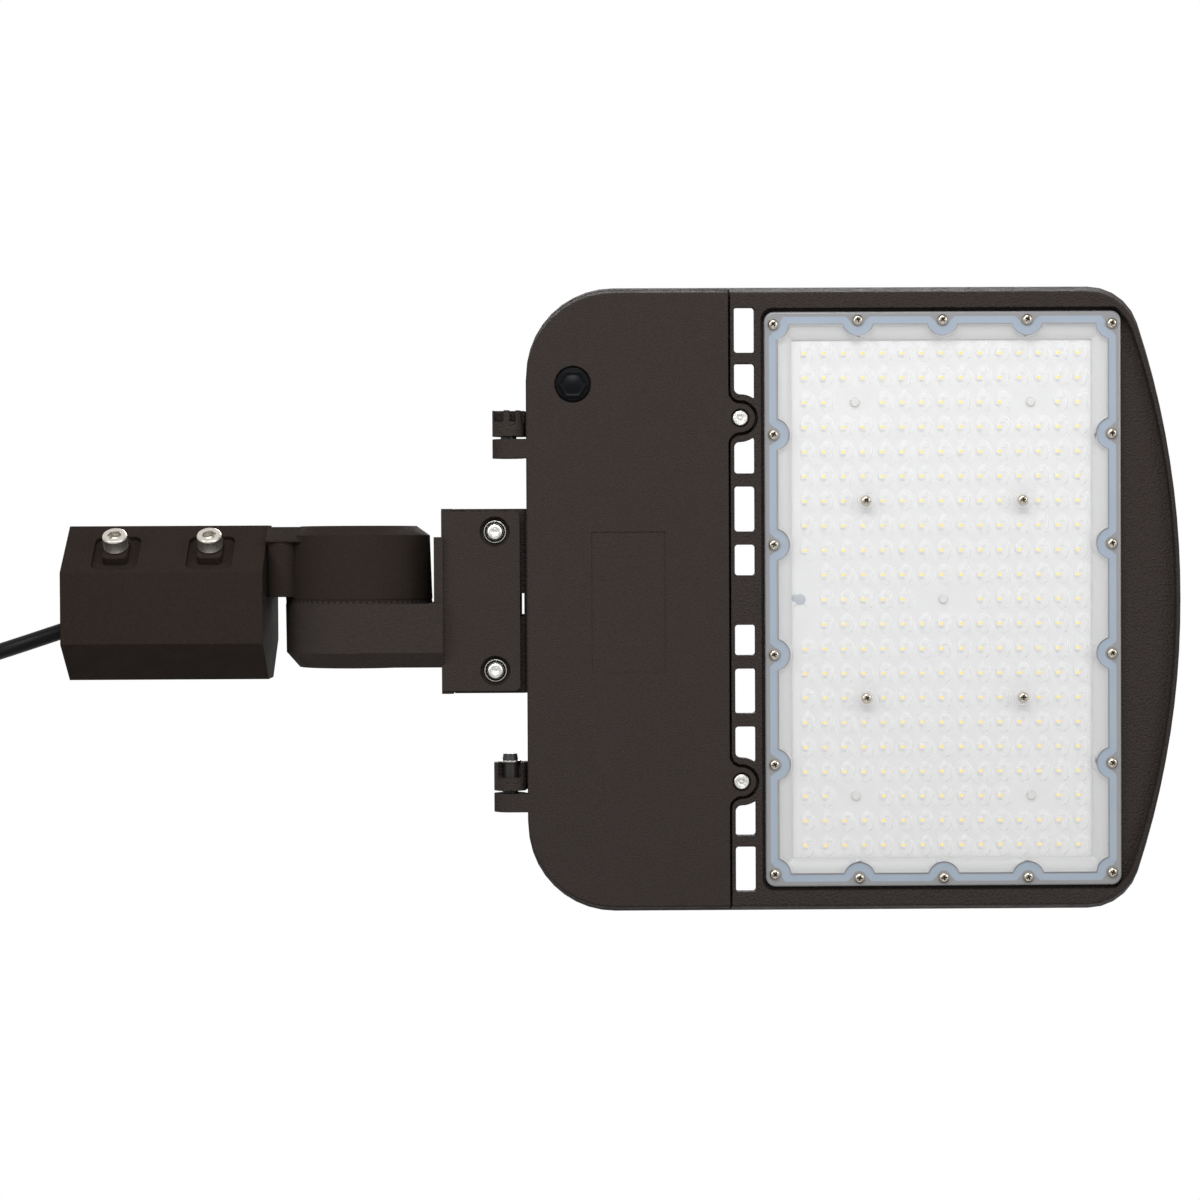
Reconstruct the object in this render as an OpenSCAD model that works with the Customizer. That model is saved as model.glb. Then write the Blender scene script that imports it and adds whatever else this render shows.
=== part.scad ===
// LED area light for a pole tenon: slip fitter, toothed tilting knuckle, finned head, hinged driver door.
// The light shines down, along -Z. X runs from the mouth of the tenon socket to the nose of the head.
// The origin is the centre of the socket's mouth.

/* [Slip fitter] */
// Length of the sleeve along the tenon
sleeve_len = 105.6; // [95:0.2:120]
// Bore for a 60 mm pole tenon
bore_d = 63; // [61:0.5:65]
// Wall that stops the tenon at the end of the bore
end_wall = 9; // [7:0.5:12]
// Height of the sleeve between its two flat faces
sleeve_h = 78; // [76:1:84]
// Distance of the bolt ridge from the tenon axis
ridge_out = 44.6; // [41:0.1:46]
// Distance of the plain side from the tenon axis
back_out = 37.2; // [36:0.1:42]
// Distance of the two sloping bolt faces from the tenon axis
facet_out = 39.9; // [38.5:0.1:41]
// Lean of the clamp bolts away from the horizontal
bolt_lean = 38; // [36:1:40]
// Thread diameter of the clamp bolts
clamp_d = 8; // [6:1:10]
// Diameter of the clamp bolts' heads
clamp_head_d = 13; // [12:0.5:15]
// Height of the clamp bolts' heads
clamp_head_h = 8; // [6:0.5:9]
// How far the heads stand off the sloping faces
clamp_stand = 2.6; // [2:0.1:8]
// Place of the first pair of clamp bolts behind the mouth
clamp_x = 27.4; // [24:0.2:34]
// Distance between the two pairs of clamp bolts
clamp_pitch = 49.5; // [40:0.5:54]
// Side of the rounded pockets round the clamp bolts
pocket_side = 24; // [20:0.5:26]
// Depth of those pockets
pocket_deep = 2.5; // [1:0.25:3]

/* [Knuckle] */
// Distance from the end of the sleeve to the knuckle axis
neck_len = 47.6; // [46:0.2:60]
// Diameter of the toothed discs
disc_d = 78.4; // [76:0.2:84]
// Thickness of the fitter's disc
upper_t = 40; // [36:1:42]
// Thickness of the arm's disc
lower_t = 35; // [32:1:38]
// Number of teeth
teeth = 72; // [24:24:72]
// Height of a tooth at the rim
tooth_h = 2.1; // [1.5:0.1:3]
// Free play between the two rings of teeth
tooth_play = 0.1; // [0.05:0.01:0.2]
// Distance of the tooth plane from the tenon axis
tooth_shift = 4; // [2:0.5:5]
// Diameter of the knuckle bolt
pivot_d = 12; // [10:1:12]

/* [Bracket] */
// Length of the two bracket plates
plate_len = 41.2; // [38:0.2:48]
// Width of the bracket plates
plate_w = 94.4; // [88:0.2:100]
// Thickness of a bracket plate
plate_t = 8; // [7:0.5:9]
// Height of the bracket over both plates
bracket_h = 66; // [64:1:66]
// Distance between the two bracket screws of a plate
bracket_screw_gap = 73; // [66:1:76]
// Thread diameter of the bracket screws
bracket_screw_d = 5; // [4:0.5:6]

/* [Head] */
// Length of the head from its rear wall to its nose
head_len = 347; // [342:1:360]
// Width of the head at its widest
head_w = 330.2; // [326:0.2:336]
// How far the rim is drawn in at the sides
rim_in = 4.8; // [3:0.2:6]
// How far the rim is drawn in at the nose
rim_nose_in = 4.4; // [4:0.2:6]
// Depth of the nose's curve from its tip to the corners
nose_sag = 29.6; // [28:0.2:34]
// Radius of the two rear corners
rear_r = 46; // [40:1:60]
// Depth of the rim below the tenon axis
face_drop = 36; // [36:0.5:38]
// Height of the driver compartment's top above the tenon axis
hump_top = 30; // [29:0.5:36]
// Wall thickness of the casting
wall = 4; // [3.5:0.25:4.5]

/* [Cooling fins] */
// Number of fins
fin_count = 23; // [15:2:25]
// Distance between fins
fin_pitch = 12.6; // [11:0.1:12.8]
// Thickness of a fin
fin_t = 2.4; // [2:0.1:3]
// Height of the fins' top above the tenon axis
fin_top = 24; // [16:1:28]

/* [Driver door] */
// Length of the door from the rear wall to the seam
door_len = 106; // [100:1:110]
// Width of the seam
seam = 1.2; // [1:0.1:1.5]
// Thickness of the door's face
door_t = 3; // [2.5:0.25:3.5]
// Height of the door's side walls
door_h = 9.5; // [9:0.25:9.75]
// Distance of the two captive screws from the middle
ear_out = 95.4; // [94:0.2:97]
// Radius of the ears round the captive screws
ear_r = 7.5; // [7:0.25:8]
// Thread diameter of the captive screws
door_screw_d = 5; // [4:0.5:5]
// Radius of the hinge lugs
lug_r = 8.5; // [8:0.25:8.75]
// Diameter of the hinge pins
pin_d = 8.4; // [7:0.2:8.6]
// Width of the sealing port's hexagon across its flats
port_hex = 13.4; // [12:0.2:14]

/* [Vent slots] */
// Width of the row of slots
slot_l = 10.8; // [9:0.2:12]
// Metal between the seam and the slots
slot_web = 1.9; // [1.8:0.1:2.4]
// Ring of metal kept round each ear
ear_web = 3.2; // [2.5:0.1:3.6]

/* [Light] */
// Length of the lens plate
lens_l = 187.5; // [185:0.1:188]
// Width of the lens plate
lens_w = 302; // [299:0.2:303]
// Thickness of the lens plate at its edge
lens_t = 3.5; // [3:0.1:4]
// Metal between the vent slots and the lens plate
lens_web = 5.1; // [4.6:0.1:6]
// Width of a lens element
optic_w = 7.6; // [6:0.1:8]
// Length of a lens element
optic_l = 12; // [9:0.1:12.2]
// Height of a lens element
optic_h = 1.6; // [1:0.1:2]
// Thread diameter of the small screws
small_d = 3; // [2.5:0.1:3]

/* [Driver] */
// Length of the LED driver
driver_l = 150; // [120:1:150]
// Width of the LED driver
driver_w = 62; // [50:1:66]
// Height of the LED driver
driver_h = 34; // [28:1:36]

/* [Supply cord] */
// Diameter of the cord
cord_d = 8.5; // [8:0.1:8.8]

/* [Hidden] */
$fn = 64;
eps = 0.01;
fit = 0.05;         // radial play of a pin or a screw in its hole
soft_gap = 0.2;     // play of a seal in its groove
bronze = [0.21, 0.19, 0.18];
steel = [0.78, 0.78, 0.76];
black = [0.06, 0.06, 0.07];

// places along the tenon axis
kx = sleeve_len + neck_len;
flange_gap = 2.5;
flange_t = 3.8;
web_x = disc_d / 2 + flange_gap + flange_t;
web_t = 6;
plate_gap = 3.6;
rear_x = kx + web_x + plate_len + plate_gap;
mid_y = -tooth_shift;
face_z = -face_drop;

// sleeve outline, across the tenon axis
top_z = sleeve_h / 2;
facet_y = (facet_out - top_z * sin(bolt_lean)) / cos(bolt_lean);
facet_z = (facet_out - ridge_out * cos(bolt_lean)) / sin(bolt_lean);
back_in = 19.7;
back_drop = 27;
pocket_low = 15.4;
pad_r = 6.5;
neck_up = 2.6;
roof_top = 12;       // half width of the neck's roof at its top
roof_side = 25.5;    // half width of the roof at its eaves
eave_drop = 7.5;
rib_side = 19;
column_r = 8;

// teeth
ring_in = disc_d / 4;
ring_out = disc_d / 2 - 0.2;
disc_face = tooth_h / 2 + 0.2;
upper_bevel = [7, 5];
lower_bevel = [7, 8];
upper_draft = 1.2;
lower_draft = 0.3;
arm_step = 0.3;
boss_r = 9;
way_r = 17;
way_d = 18;
pivot_head_d = 18;
pivot_head_h = 10;
pivot_seat = 12;
pivot_washer_t = 2;
nut_h = 9;
nut_seat = 13;

// bracket screws: counterbore, washer and head
sink_deep = 5;
sink_r = 7.9;
washer_t = 1.2;
washer_r = 6.1;
m5_head = 4.5;
m5_head_h = 3.5;
bracket_screw_grip = 11;

// head, measured from its rear wall
half = head_w / 2;
wide_z = -18;
tray_z = -8;
nose_pow = 2.1;
nose_r = 28;
nose_lip = 1.4;
hump_x = door_len + seam + slot_web - 0.2;
seal_z = -24;
slot_floor = -28;
fin_floor = -20;
slot_x = door_len + seam + slot_web;
slot_spans = [[13, 29], [36, 59.6], [66.4, 85.5], [105.5, 123.9], [129.5, 153.4]];
ear_x = door_len + 6.3;
ear_t = 5;
ear_sink = 2.4;
door_head = 4;      // radius of a door screw's head
door_head_h = 2.2;
door_screw_l = 14;
notch_gap = 1.7;
lens_x = slot_x + slot_l + lens_web;
recess_gap = 1.9;
recess_z = face_z + 6;
pocket_z = face_z + 10;
lens_r = 5.2;
field_in = 9.2;
screw_in = 4.75;
screw_row_in = 4.4;
corner_in = 6.6;
screw_px = (lens_l - 2 * screw_in) / 4;
screw_py = (lens_w - 2 * corner_in) / 5;
led_cols = 15;
led_rows = 21;
led_px = (lens_l - 33) / led_cols;
led_py = (lens_w - 29.6) / led_rows;
boss_keep = 7.4;
led_cx = lens_x + lens_l / 2 + 0.7;
board_t = 1.6;
board_gap = 0.9;
board_l = lens_l - 2 * (screw_in + boss_keep + board_gap);
board_w = lens_w - 2 * (screw_row_in + boss_keep + board_gap);
chip = 3;
chip_h = 0.7;
gasket_in = 2.1;
gasket_w = 4.2;
gasket_h = 1.5;
loop_r = 3.7;
head_in = 2.65;     // radius of a small screw's head
head_up = 2;        // height of a small screw's head
grommet_x = led_cx - led_cols / 2 * led_px;
duct_w = 14;
duct_top = -9;
wire_z = -15;
wire_r = 2;
gland_y = 20;
gland_r = 8;

// hinge of the door
hinge_x = -9.3;
hinge_z = face_z + lug_r;
lug_a = [-100, -86.5];
door_lug_a = [-85, -75];
lug_b = [85, 99.6];
door_lug_b = [101.2, 110.8];
pin_r = pin_d / 2;
pin_tip = 80.3;
groove_r = pin_r - 1;
clip_y = 83.8;
clip_t = 0.8;

// neck between the bracket plates
neck_z = bracket_h / 2 - plate_t;
rail_out = 48.6;
rail_t = 4.8;
neck_floor = 4;
neck_gap = 0.5;
boss_x = -16.7;
cord_slot = 12;

// port in the door
port_x = 24.6;
port_y = -113.4;
port_r = 9.7;
port_deep = 3;
plug_r = 6;
seal_t = 1;

// driver compartment
bay_low_in = 7.2;
bay_step = -18;
bay_top = hump_top - 4.5;
bay_top_in = 9;
driver_x = 22;
driver_y = -40;
tab_l = 9;
tab_t = 3;
m4_r = 2;
m4_head = 3.8;
m4_head_h = 2.8;
m4_grip = 3;

function unit(v) = v / norm(v);
function arc(c, r, a0, a1, n) = [for (i = [0:n]) let (a = a0 + (a1 - a0) * i / n) c + r * [cos(a), sin(a)]];

// outline of the head for a half width, a rear line and a nose line, round its four corners
function nose_at(y, w, x1) = x1 - nose_sag * pow(abs(y) / w, nose_pow);
nose_lean = 18;
function rear_arc(w, x0, up) = let (r = rear_r - x0)
    up ? arc([x0 + r, w - r], r, 90, 180, 10) : arc([x0 + r, r - w], r, 180, 270, 10);
function head_line(w, x0, x1) = let (y1 = w - nose_r * (1 - sin(nose_lean)),
    xc = nose_at(y1, w, x1) - nose_r * cos(nose_lean))
    concat(rear_arc(w, x0, false), arc([xc, nose_r - w], nose_r, -90, -nose_lean, 5),
        [for (i = [-9:9]) [nose_at(y1 * i / 10, w, x1), y1 * i / 10]],
        arc([xc, w - nose_r], nose_r, nose_lean, 90, 5), rear_arc(w, x0, true));
function rear_line(w, x0, x1) = concat(rear_arc(w, x0, false), [[x1, -w], [x1, w]], rear_arc(w, x0, true));
function led_here(c, r) = !(abs(r) == 8 && (abs(c) == 4 || abs(c) == 5)) && !(abs(r) == 4 && abs(c) == 4)
    && !(abs(r) <= 1 && c == -7) && !(r == 0 && abs(c) <= 1);
function led_at(c, r) = [led_cx + c * led_px, r * led_py];
function led_spots() = let (c1 = (led_cols - 1) / 2, r1 = (led_rows - 1) / 2)
    [for (c = [-c1:c1], r = [-r1:r1]) if (led_here(c, r)) led_at(c, r)];
function inner_screws() = [for (c = [-4, 4], r = [-4, 4]) led_at(c, r)];
function board_spots() = concat([led_at(0, 0)], [for (c = [-4.5, 4.5], r = [-8, 8]) led_at(c, r)]);
function rim_screws() = concat(
    [for (s = [-1, 1], i = [1:3]) [lens_x + screw_in + i * screw_px, s * (lens_w / 2 - screw_row_in)]],
    [for (i = [0, 4], j = [-2.5:1:2.5]) [lens_x + screw_in + i * screw_px, j * screw_py]]);

// a swept tube: rings of n points along a path, square to it
function tangent(p, i) = unit(p[min(i + 1, len(p) - 1)] - p[max(i - 1, 0)]);
function ring(c, t, side, r, n) = let (u = unit(cross(t, side)), v = cross(t, u))
    [for (k = [0:n - 1]) c + r * (cos(360 * k / n) * u + sin(360 * k / n) * v)];
function blend(a, b, c, d, t) = 0.5 * (2 * b + (c - a) * t + (2 * a - 5 * b + 4 * c - d) * t * t
    + (3 * b - a - 3 * c + d) * t * t * t);
function smooth(p, k) = concat([for (i = [0:len(p) - 2], j = [0:k - 1])
    blend(p[max(i - 1, 0)], p[i], p[i + 1], p[min(i + 2, len(p) - 1)], j / k)], [p[len(p) - 1]]);

module tube(path, side, r, n) {
    last = len(path) - 1;
    polyhedron(
        points = [for (i = [0:last]) each ring(path[i], tangent(path, i), side, r, n)],
        faces = concat(
            [for (k = [1:n - 2]) [0, k, k + 1]],
            [for (k = [1:n - 2]) [last * n, last * n + k + 1, last * n + k]],
            [for (i = [0:last - 1], k = [0:n - 1]) let (j = (k + 1) % n)
                each [[i * n + k, (i + 1) * n + k, (i + 1) * n + j],
                    [i * n + k, (i + 1) * n + j, i * n + j]]]));
}

// cylinders along X and along Y, from a given start
module rod_x(x, l, r) {
    translate([x, 0, 0])
        rotate([0, 90, 0])
            cylinder(h = l, r = r);
}

module rod_y(y, l, r) {
    translate([0, y, 0])
        rotate([-90, 0, 0])
            cylinder(h = l, r = r);
}

module slab(x, y, l, w, r) {
    translate([x + r, y]) square([l - 2 * r, w]);
    translate([x, y + r]) square([l, w - 2 * r]);
    for (i = [0, 1], j = [0, 1])
        translate([x + r + i * (l - 2 * r), y + r + j * (w - 2 * r)])
            circle(r = r);
}

module bar(x, y, z0, z1) {
    translate([x[0], y[0], z0])
        cube([x[1] - x[0], y[1] - y[0], z1 - z0]);
}

// ---------------------------------------------------------------- knuckle teeth

// a crown of teeth round Z: every flank runs to the axis, so that two crowns mesh at each step
module tooth_crown(start) {
    n = 2 * teeth;
    drop = -tooth_h / 2 - 1.5;
    function edge(r, i) = let (a = 180 * i / teeth)
        [r * cos(a), r * sin(a), (i % 2 == start ? 1 : -1) * tooth_h / 2 * r / ring_out];
    function foot(r, i) = let (a = 180 * i / teeth) [r * cos(a), r * sin(a), drop];
    polyhedron(
        points = concat([for (i = [0:n - 1]) edge(ring_in, i)], [for (i = [0:n - 1]) edge(ring_out, i)],
            [for (i = [0:n - 1]) foot(ring_out, i)], [for (i = [0:n - 1]) foot(ring_in, i)]),
        faces = [for (b = [0:3], i = [0:n - 1]) let (j = (i + 1) % n, c = (b + 1) % 4)
            each [[b * n + i, c * n + j, c * n + i], [b * n + i, b * n + j, c * n + j]]]);
}

// half of the knuckle along Z: a disc with a bevelled back and a crown of teeth on its face
module toothed_disc(t, start, draft, bevel) {
    r = disc_d / 2;
    rotate_extrude()
        polygon([[0, disc_face], [r, disc_face], [r - draft, t - bevel[1]],
            [r - draft - bevel[0], t], [0, t]]);
    translate([0, 0, tooth_play / 2])
        mirror([0, 0, 1])
            tooth_crown(start);
}

// ---------------------------------------------------------------- slip fitter

module sleeve_outline() {
    polygon([[-facet_y, -top_z], [back_out - back_in, -top_z], [back_out, back_drop - top_z],
        [back_out, top_z - back_drop], [back_out - back_in, top_z], [-facet_y, top_z],
        [-ridge_out, facet_z], [-ridge_out, -facet_z]]);
}

// places its children at each clamp bolt, with Z along the bolt and out of the sleeve
module at_clamps() {
    for (x = [clamp_x, clamp_x + clamp_pitch], s = [-1, 1])
        translate([x, 0, 0])
            mirror([0, 0, s > 0 ? 0 : 1])
                rotate([90 - bolt_lean, 0, 0])
                    children();
}

module clamp_pad(r) {
    slab(-r, -r - 2.5, 2 * r, 2 * r + 5.5, 3);
}

// the plan of a pocket, with the pad that is left standing round the bolt
module clamp_pocket() {
    difference() {
        slab(-pocket_side / 2, -pocket_side / 2, pocket_side, pocket_side / 2 + pocket_low, 4);
        clamp_pad(pad_r);
    }
}

// the neck between sleeve and disc: a roof with sloping sides on a rib that ends in two round columns
module fitter_neck() {
    top = mid_y - upper_t + 0.3;
    eave = mid_y - upper_t + eave_drop;
    z = [roof_top, roof_side];
    translate([sleeve_len - eps, 0, 0])
        rotate([90, 0, 90])
            linear_extrude(neck_len)
                polygon([[top, -z[0]], [top, z[0]], [eave, z[1]], [eave + 1, z[1]],
                    [eave + 1, -z[1]], [eave, -z[1]]]);
    bar([sleeve_len - eps, kx], [eave, mid_y - neck_up], -rib_side, rib_side);
    for (s = [-1, 1])
        translate([sleeve_len + column_r, 0, s * (roof_side - 0.5 - column_r)])
            rod_y(eave, mid_y - neck_up - eave, column_r);
}

module fitter_sleeve() {
    color(bronze)
    difference() {
        union() {
            rotate([90, 0, 90])
                linear_extrude(sleeve_len)
                    sleeve_outline();
            fitter_neck();
            translate([kx, mid_y, 0])
                rotate([90, 0, 0])
                    toothed_disc(upper_t, 0, upper_draft, upper_bevel);
            at_clamps()
                translate([0, 0, facet_out - pocket_deep - 1])
                    linear_extrude(pocket_deep + clamp_stand + 0.7)
                        clamp_pad(pad_r + 0.3);
        }
        rod_x(-1, sleeve_len - end_wall + 1, bore_d / 2);
        at_clamps() {
            cylinder(h = 60, r = clamp_d / 2 + fit);
            translate([0, 0, facet_out - pocket_deep])
                linear_extrude(20)
                    clamp_pocket();
        }
        translate([0, bush_y, 0])
            rod_x(sleeve_len - end_wall - 1, kx - sleeve_len - way_r + end_wall + 3, gland_r);
        translate([kx, mid_y, 0]) {
            rod_y(-upper_t - 1, upper_t + 3, pivot_d / 2 + fit);
            rod_y(-upper_t - 1, pivot_seat + 1, pivot_head_d / 2 + 2.5);
            difference() {
                rod_y(-way_d, way_d + 3, way_r);
                rod_y(-way_d - 1, way_d + 5, boss_r);
            }
        }
    }
}

module clamp_bolts() {
    color(steel)
    at_clamps() {
        top = facet_out + clamp_stand;
        translate([0, 0, bore_d / 2 + 0.5])
            cylinder(h = top - bore_d / 2 - 0.5 + eps, r = clamp_d / 2);
        difference() {
            translate([0, 0, top])
                cylinder(h = clamp_head_h, r = clamp_head_d / 2);
            translate([0, 0, top + clamp_head_h / 2])
                cylinder(h = clamp_head_h, r = clamp_head_d / 4, $fn = 6);
        }
    }
}

module knuckle_bolt() {
    color(steel)
    translate([kx, mid_y, 0]) {
        seat = -upper_t + pivot_seat - pivot_washer_t;
        difference() {
            rod_y(seat - pivot_head_h, pivot_head_h, pivot_head_d / 2);
            translate([0, seat - pivot_head_h - 1, 0])
                rotate([-90, 0, 0])
                    cylinder(h = 7, r = 5.5, $fn = 6);
        }
        rod_y(seat - eps, lower_t - 1 - seat, pivot_d / 2);
    }
}

module knuckle_washers() {
    color(steel)
    translate([kx, mid_y, 0])
        for (y = [-upper_t + pivot_seat - pivot_washer_t, lower_t - nut_seat])
            difference() {
                rod_y(y, pivot_washer_t, pivot_head_d / 2 + 2);
                rod_y(y - 1, pivot_washer_t + 2, pivot_d / 2 + fit);
            }
}

module knuckle_nut() {
    color(steel)
    translate([kx, mid_y, 0])
        difference() {
            translate([0, lower_t - nut_seat + pivot_washer_t, 0])
                rotate([-90, 0, 0])
                    cylinder(h = nut_h, r = pivot_head_d / 2 + 1.4, $fn = 6);
            rod_y(0, lower_t + 2, pivot_d / 2 + fit);
        }
}

// ---------------------------------------------------------------- supply cord

bush_x = sleeve_len - end_wall;
bush_tail = 23;
coil_r = 47;
coil_pitch = 9.4;
coil_turns = 2;
coil_sides = 6;
coil_steps = 24;
tail_len = 45;
drop_at = [-52, 26, -60];
bush_y = mid_y - way_d / 2 - 5;
cord_route = [[bush_x - bush_tail, bush_y, 0], [bush_x - 28, bush_y, 0], [bush_x - 33, bush_y, 0],
    [50, -12, -2], [35, -5, -5], [20, 2, -8], [5, 8, -10], [-10, 13, -11], [-25, 18, -14], [-37, 22, -20],
    [-46, 25, -28], [-51, 26, -37], [-52, 26, -44], [-52, 26, -48], drop_at + [0, 0, cord_d]];

module cord_bushing() {
    color(black)
    translate([0, bush_y, 0]) {
        rod_x(bush_x - eps, end_wall, gland_r - fit);
        rod_x(bush_x - 3, 3, gland_r + 3);
        translate([bush_x - bush_tail, 0, 0])
            rotate([0, 90, 0])
                cylinder(h = bush_tail - 3 + eps, r1 = cord_d / 2 + 1, r2 = gland_r);
    }
}

module supply_cord() {
    color(black)
        tube(smooth(cord_route, 2), [0, 1, 0], cord_d / 2, 10);
}

// a point of the coil after a part of its turns, starting on its +Y side and running down first
function coil_point(a) = drop_at + [-coil_pitch * a / 360, coil_r * (cos(a) - 1), -coil_r * sin(a)];
function coil_path() = let (last = 360 * coil_turns) concat([drop_at + [0, 0, cord_d]],
    [for (i = [0:coil_steps * coil_turns]) coil_point(360 * i / coil_steps)],
    [for (d = [15, 30, tail_len]) coil_point(last) - [0, 0, d]]);
function least_gap(p) = min([for (i = [0:len(p) - 1], j = [i + 8:1:len(p) - 1]) norm(p[i] - p[j])]) - cord_d;
echo(coil_least_gap = least_gap(coil_path()));

module cord_coil() {
    color(black)
        tube(coil_path(), [1, 0, 0], cord_d / 2, coil_sides);
}

module cord_tie() {
    at = coil_point(270);
    span = coil_pitch;
    hole = cord_d / 2 + 0.3;
    band = hole + 1.2;
    color(black)
    translate([at[0] - span / 2, at[1] - 2.5, at[2]])
        rotate([-90, 0, 0])
            linear_extrude(5)
                difference() {
                    slab(-span / 2 - band, -band, span + 2 * band, 2 * band, 4);
                    slab(-span / 2 - hole, -hole, span + 2 * hole, 2 * hole, 3);
                }
}

module lead_ends() {
    end = coil_point(360 * coil_turns) - [0, 0, tail_len];
    for (k = [0:2]) {
        a = 120 * k + 30;
        way = [cos(a), sin(a), 0];
        color([black, [0.9, 0.9, 0.9], [0.1, 0.45, 0.2]][k])
            tube([end + 2.1 * way, end + 2.1 * way - [0, 0, 6], end + 4.5 * way - [0, 0, 20],
                end + 8 * way - [0, 0, 38], end + 9 * way - [0, 0, 55]], [1, 0.3, 0], 1.5, 8);
    }
}

// ---------------------------------------------------------------- knuckle arm with its bracket

module bracket_plate() {
    h = bracket_h / 2;
    translate([0, 0, -h])
        linear_extrude(plate_t)
            union() {
                slab(web_x, -plate_w / 2, plate_len, plate_w, 3);
                translate([web_x, -plate_w / 2]) square([10, plate_w]);
            }
}

// the arm across X, flush with the disc and bevelled like it
module arm_section() {
    y = lower_t - arm_step;
    z = disc_d / 2 - arm_step;
    b = lower_bevel;
    polygon([[disc_face, -z], [y - b[1], -z], [y, b[0] - z], [y, z - b[0]], [y - b[1], z], [disc_face, z]]);
}

module knuckle_arm() {
    h = bracket_h / 2;
    flange_z = disc_d / 2 - 3;
    hole_x = web_x + plate_len + plate_gap + boss_x;
    color(bronze)
    translate([kx, mid_y, 0])
    difference() {
        union() {
            rotate([-90, 0, 0])
                toothed_disc(lower_t, 1, lower_draft, lower_bevel);
            rotate([90, 0, 90])
                linear_extrude(web_x + 1)
                    arm_section();
            bar([web_x - flange_t, web_x + 1], [-lower_t + 1.2, 10], -flange_z, flange_z);
            bar([web_x, web_x + web_t], [-rail_out, rail_out], -h + 1, h - 1);
            bracket_plate();
            mirror([0, 0, 1]) bracket_plate();
        }
        rod_y(-2, lower_t + 3, pivot_d / 2 + fit);
        rod_y(lower_t - nut_seat, nut_seat + 1, pivot_head_d / 2 + 3.5);
        difference() {
            rod_y(-2, way_d + 2, way_r);
            rod_y(-3, way_d + 4, boss_r);
        }
        translate([0, way_d / 2 + 2, 0])
            rod_x(way_r - 2, web_x + web_t, 7);
        for (s = [-1, 1], y = [-1, 1])
            translate([hole_x, y * bracket_screw_gap / 2, 0])
                mirror([0, 0, s > 0 ? 0 : 1])
                    translate([0, 0, -h - 1]) {
                        cylinder(h = plate_t + 2, r = bracket_screw_d / 2 + fit);
                        cylinder(h = sink_deep + 1, r = sink_r);
                    }
    }
}

// places its children at the four bracket screws, with Z pointing in and Z = 0 on the counterbore's floor
module at_bracket_screws() {
    for (s = [0, 1], y = [-1, 1])
        translate([rear_x + boss_x, mid_y + y * bracket_screw_gap / 2, 0])
            mirror([0, 0, s])
                translate([0, 0, sink_deep - bracket_h / 2])
                    children();
}

module bracket_screws() {
    reach = washer_t + plate_t - sink_deep + bracket_screw_grip;
    color(steel)
    at_bracket_screws()
        translate([0, 0, -washer_t]) {
            translate([0, 0, -eps])
                cylinder(h = reach + eps, r = bracket_screw_d / 2);
            difference() {
                translate([0, 0, -m5_head_h]) cylinder(h = m5_head_h, r = m5_head);
                translate([0, 0, -m5_head_h - 1]) cylinder(h = m5_head_h / 2 + 1, r = m5_head / 2, $fn = 6);
            }
        }
}

module bracket_washers() {
    color(steel)
    at_bracket_screws()
        translate([0, 0, -washer_t])
            difference() {
                cylinder(h = washer_t, r = washer_r);
                translate([0, 0, -1]) cylinder(h = washer_t + 2, r = bracket_screw_d / 2 + fit);
            }
}

// ---------------------------------------------------------------- head casting

module in_head() {
    translate([rear_x, mid_y, 0])
        children();
}

// a body through outlines of equal point counts, from the lowest to the highest
module loft(z, lines) {
    n = len(lines[0]);
    last = len(z) - 1;
    polyhedron(
        points = [for (i = [0:last], p = lines[i]) [p[0], p[1], z[i]]],
        faces = concat([[for (k = [0:n - 1]) k]], [[for (k = [0:n - 1]) last * n + n - 1 - k]],
            [for (i = [0:last - 1], k = [0:n - 1])
                [i * n + k, (i + 1) * n + k, (i + 1) * n + (k + 1) % n, i * n + (k + 1) % n]]));
}

module head_tray() {
    loft([face_z, face_z + 0.8, wide_z, tray_z],
        [head_line(half - rim_in, 0.8, head_len - rim_nose_in),
        head_line(half - rim_in + 0.8, 0, head_len - rim_nose_in + 0.8),
        head_line(half, 0, head_len), head_line(half - 3, 0, head_len - 4)]);
}

function hump_line(in) = rear_line(half - 3.5 - in, in, hump_x - in);

module driver_hump() {
    loft([fin_floor, hump_top - 12, hump_top - 4, hump_top],
        [hump_line(0), hump_line(0.01), hump_line(4), hump_line(11)]);
}

// the driver bay, stepped so that its mouth keeps a rim for the seal
module bay() {
    translate([0, 0, seal_z - 1])
        linear_extrude(bay_step - seal_z + 1 + eps)
            polygon(hump_line(bay_low_in));
    translate([0, 0, bay_step])
        linear_extrude(hump_top - 12 - bay_step)
            polygon(hump_line(wall));
    translate([0, 0, hump_top - 12 - eps])
        linear_extrude(bay_top - hump_top + 12 + eps)
            polygon(hump_line(bay_top_in));
}

module vent_slots() {
    difference() {
        for (s = [-1, 1], span = slot_spans)
            slab(slot_x, s > 0 ? span[0] : -span[1], slot_l, span[1] - span[0], 1.6);
        ear_line(slot_x - eps, ear_r + notch_gap + ear_web);
    }
}

// the door's front edge with its two ears, each blended into the edge by two fillets
module ear_line(edge, r) {
    f = ear_x - edge;
    side = r + f;
    translate([edge - 20, -half + 30]) square([20, 2 * half - 60]);
    for (s = [-1, 1])
        translate([edge, s * ear_out]) {
            translate([f, 0]) circle(r = r);
            difference() {
                polygon([[-1, -side], [-1, side], [0, side], [f, side], [f, -side], [0, -side]]);
                for (t = [-1, 1])
                    translate([f, t * side])
                        circle(r = f);
            }
        }
}

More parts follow.
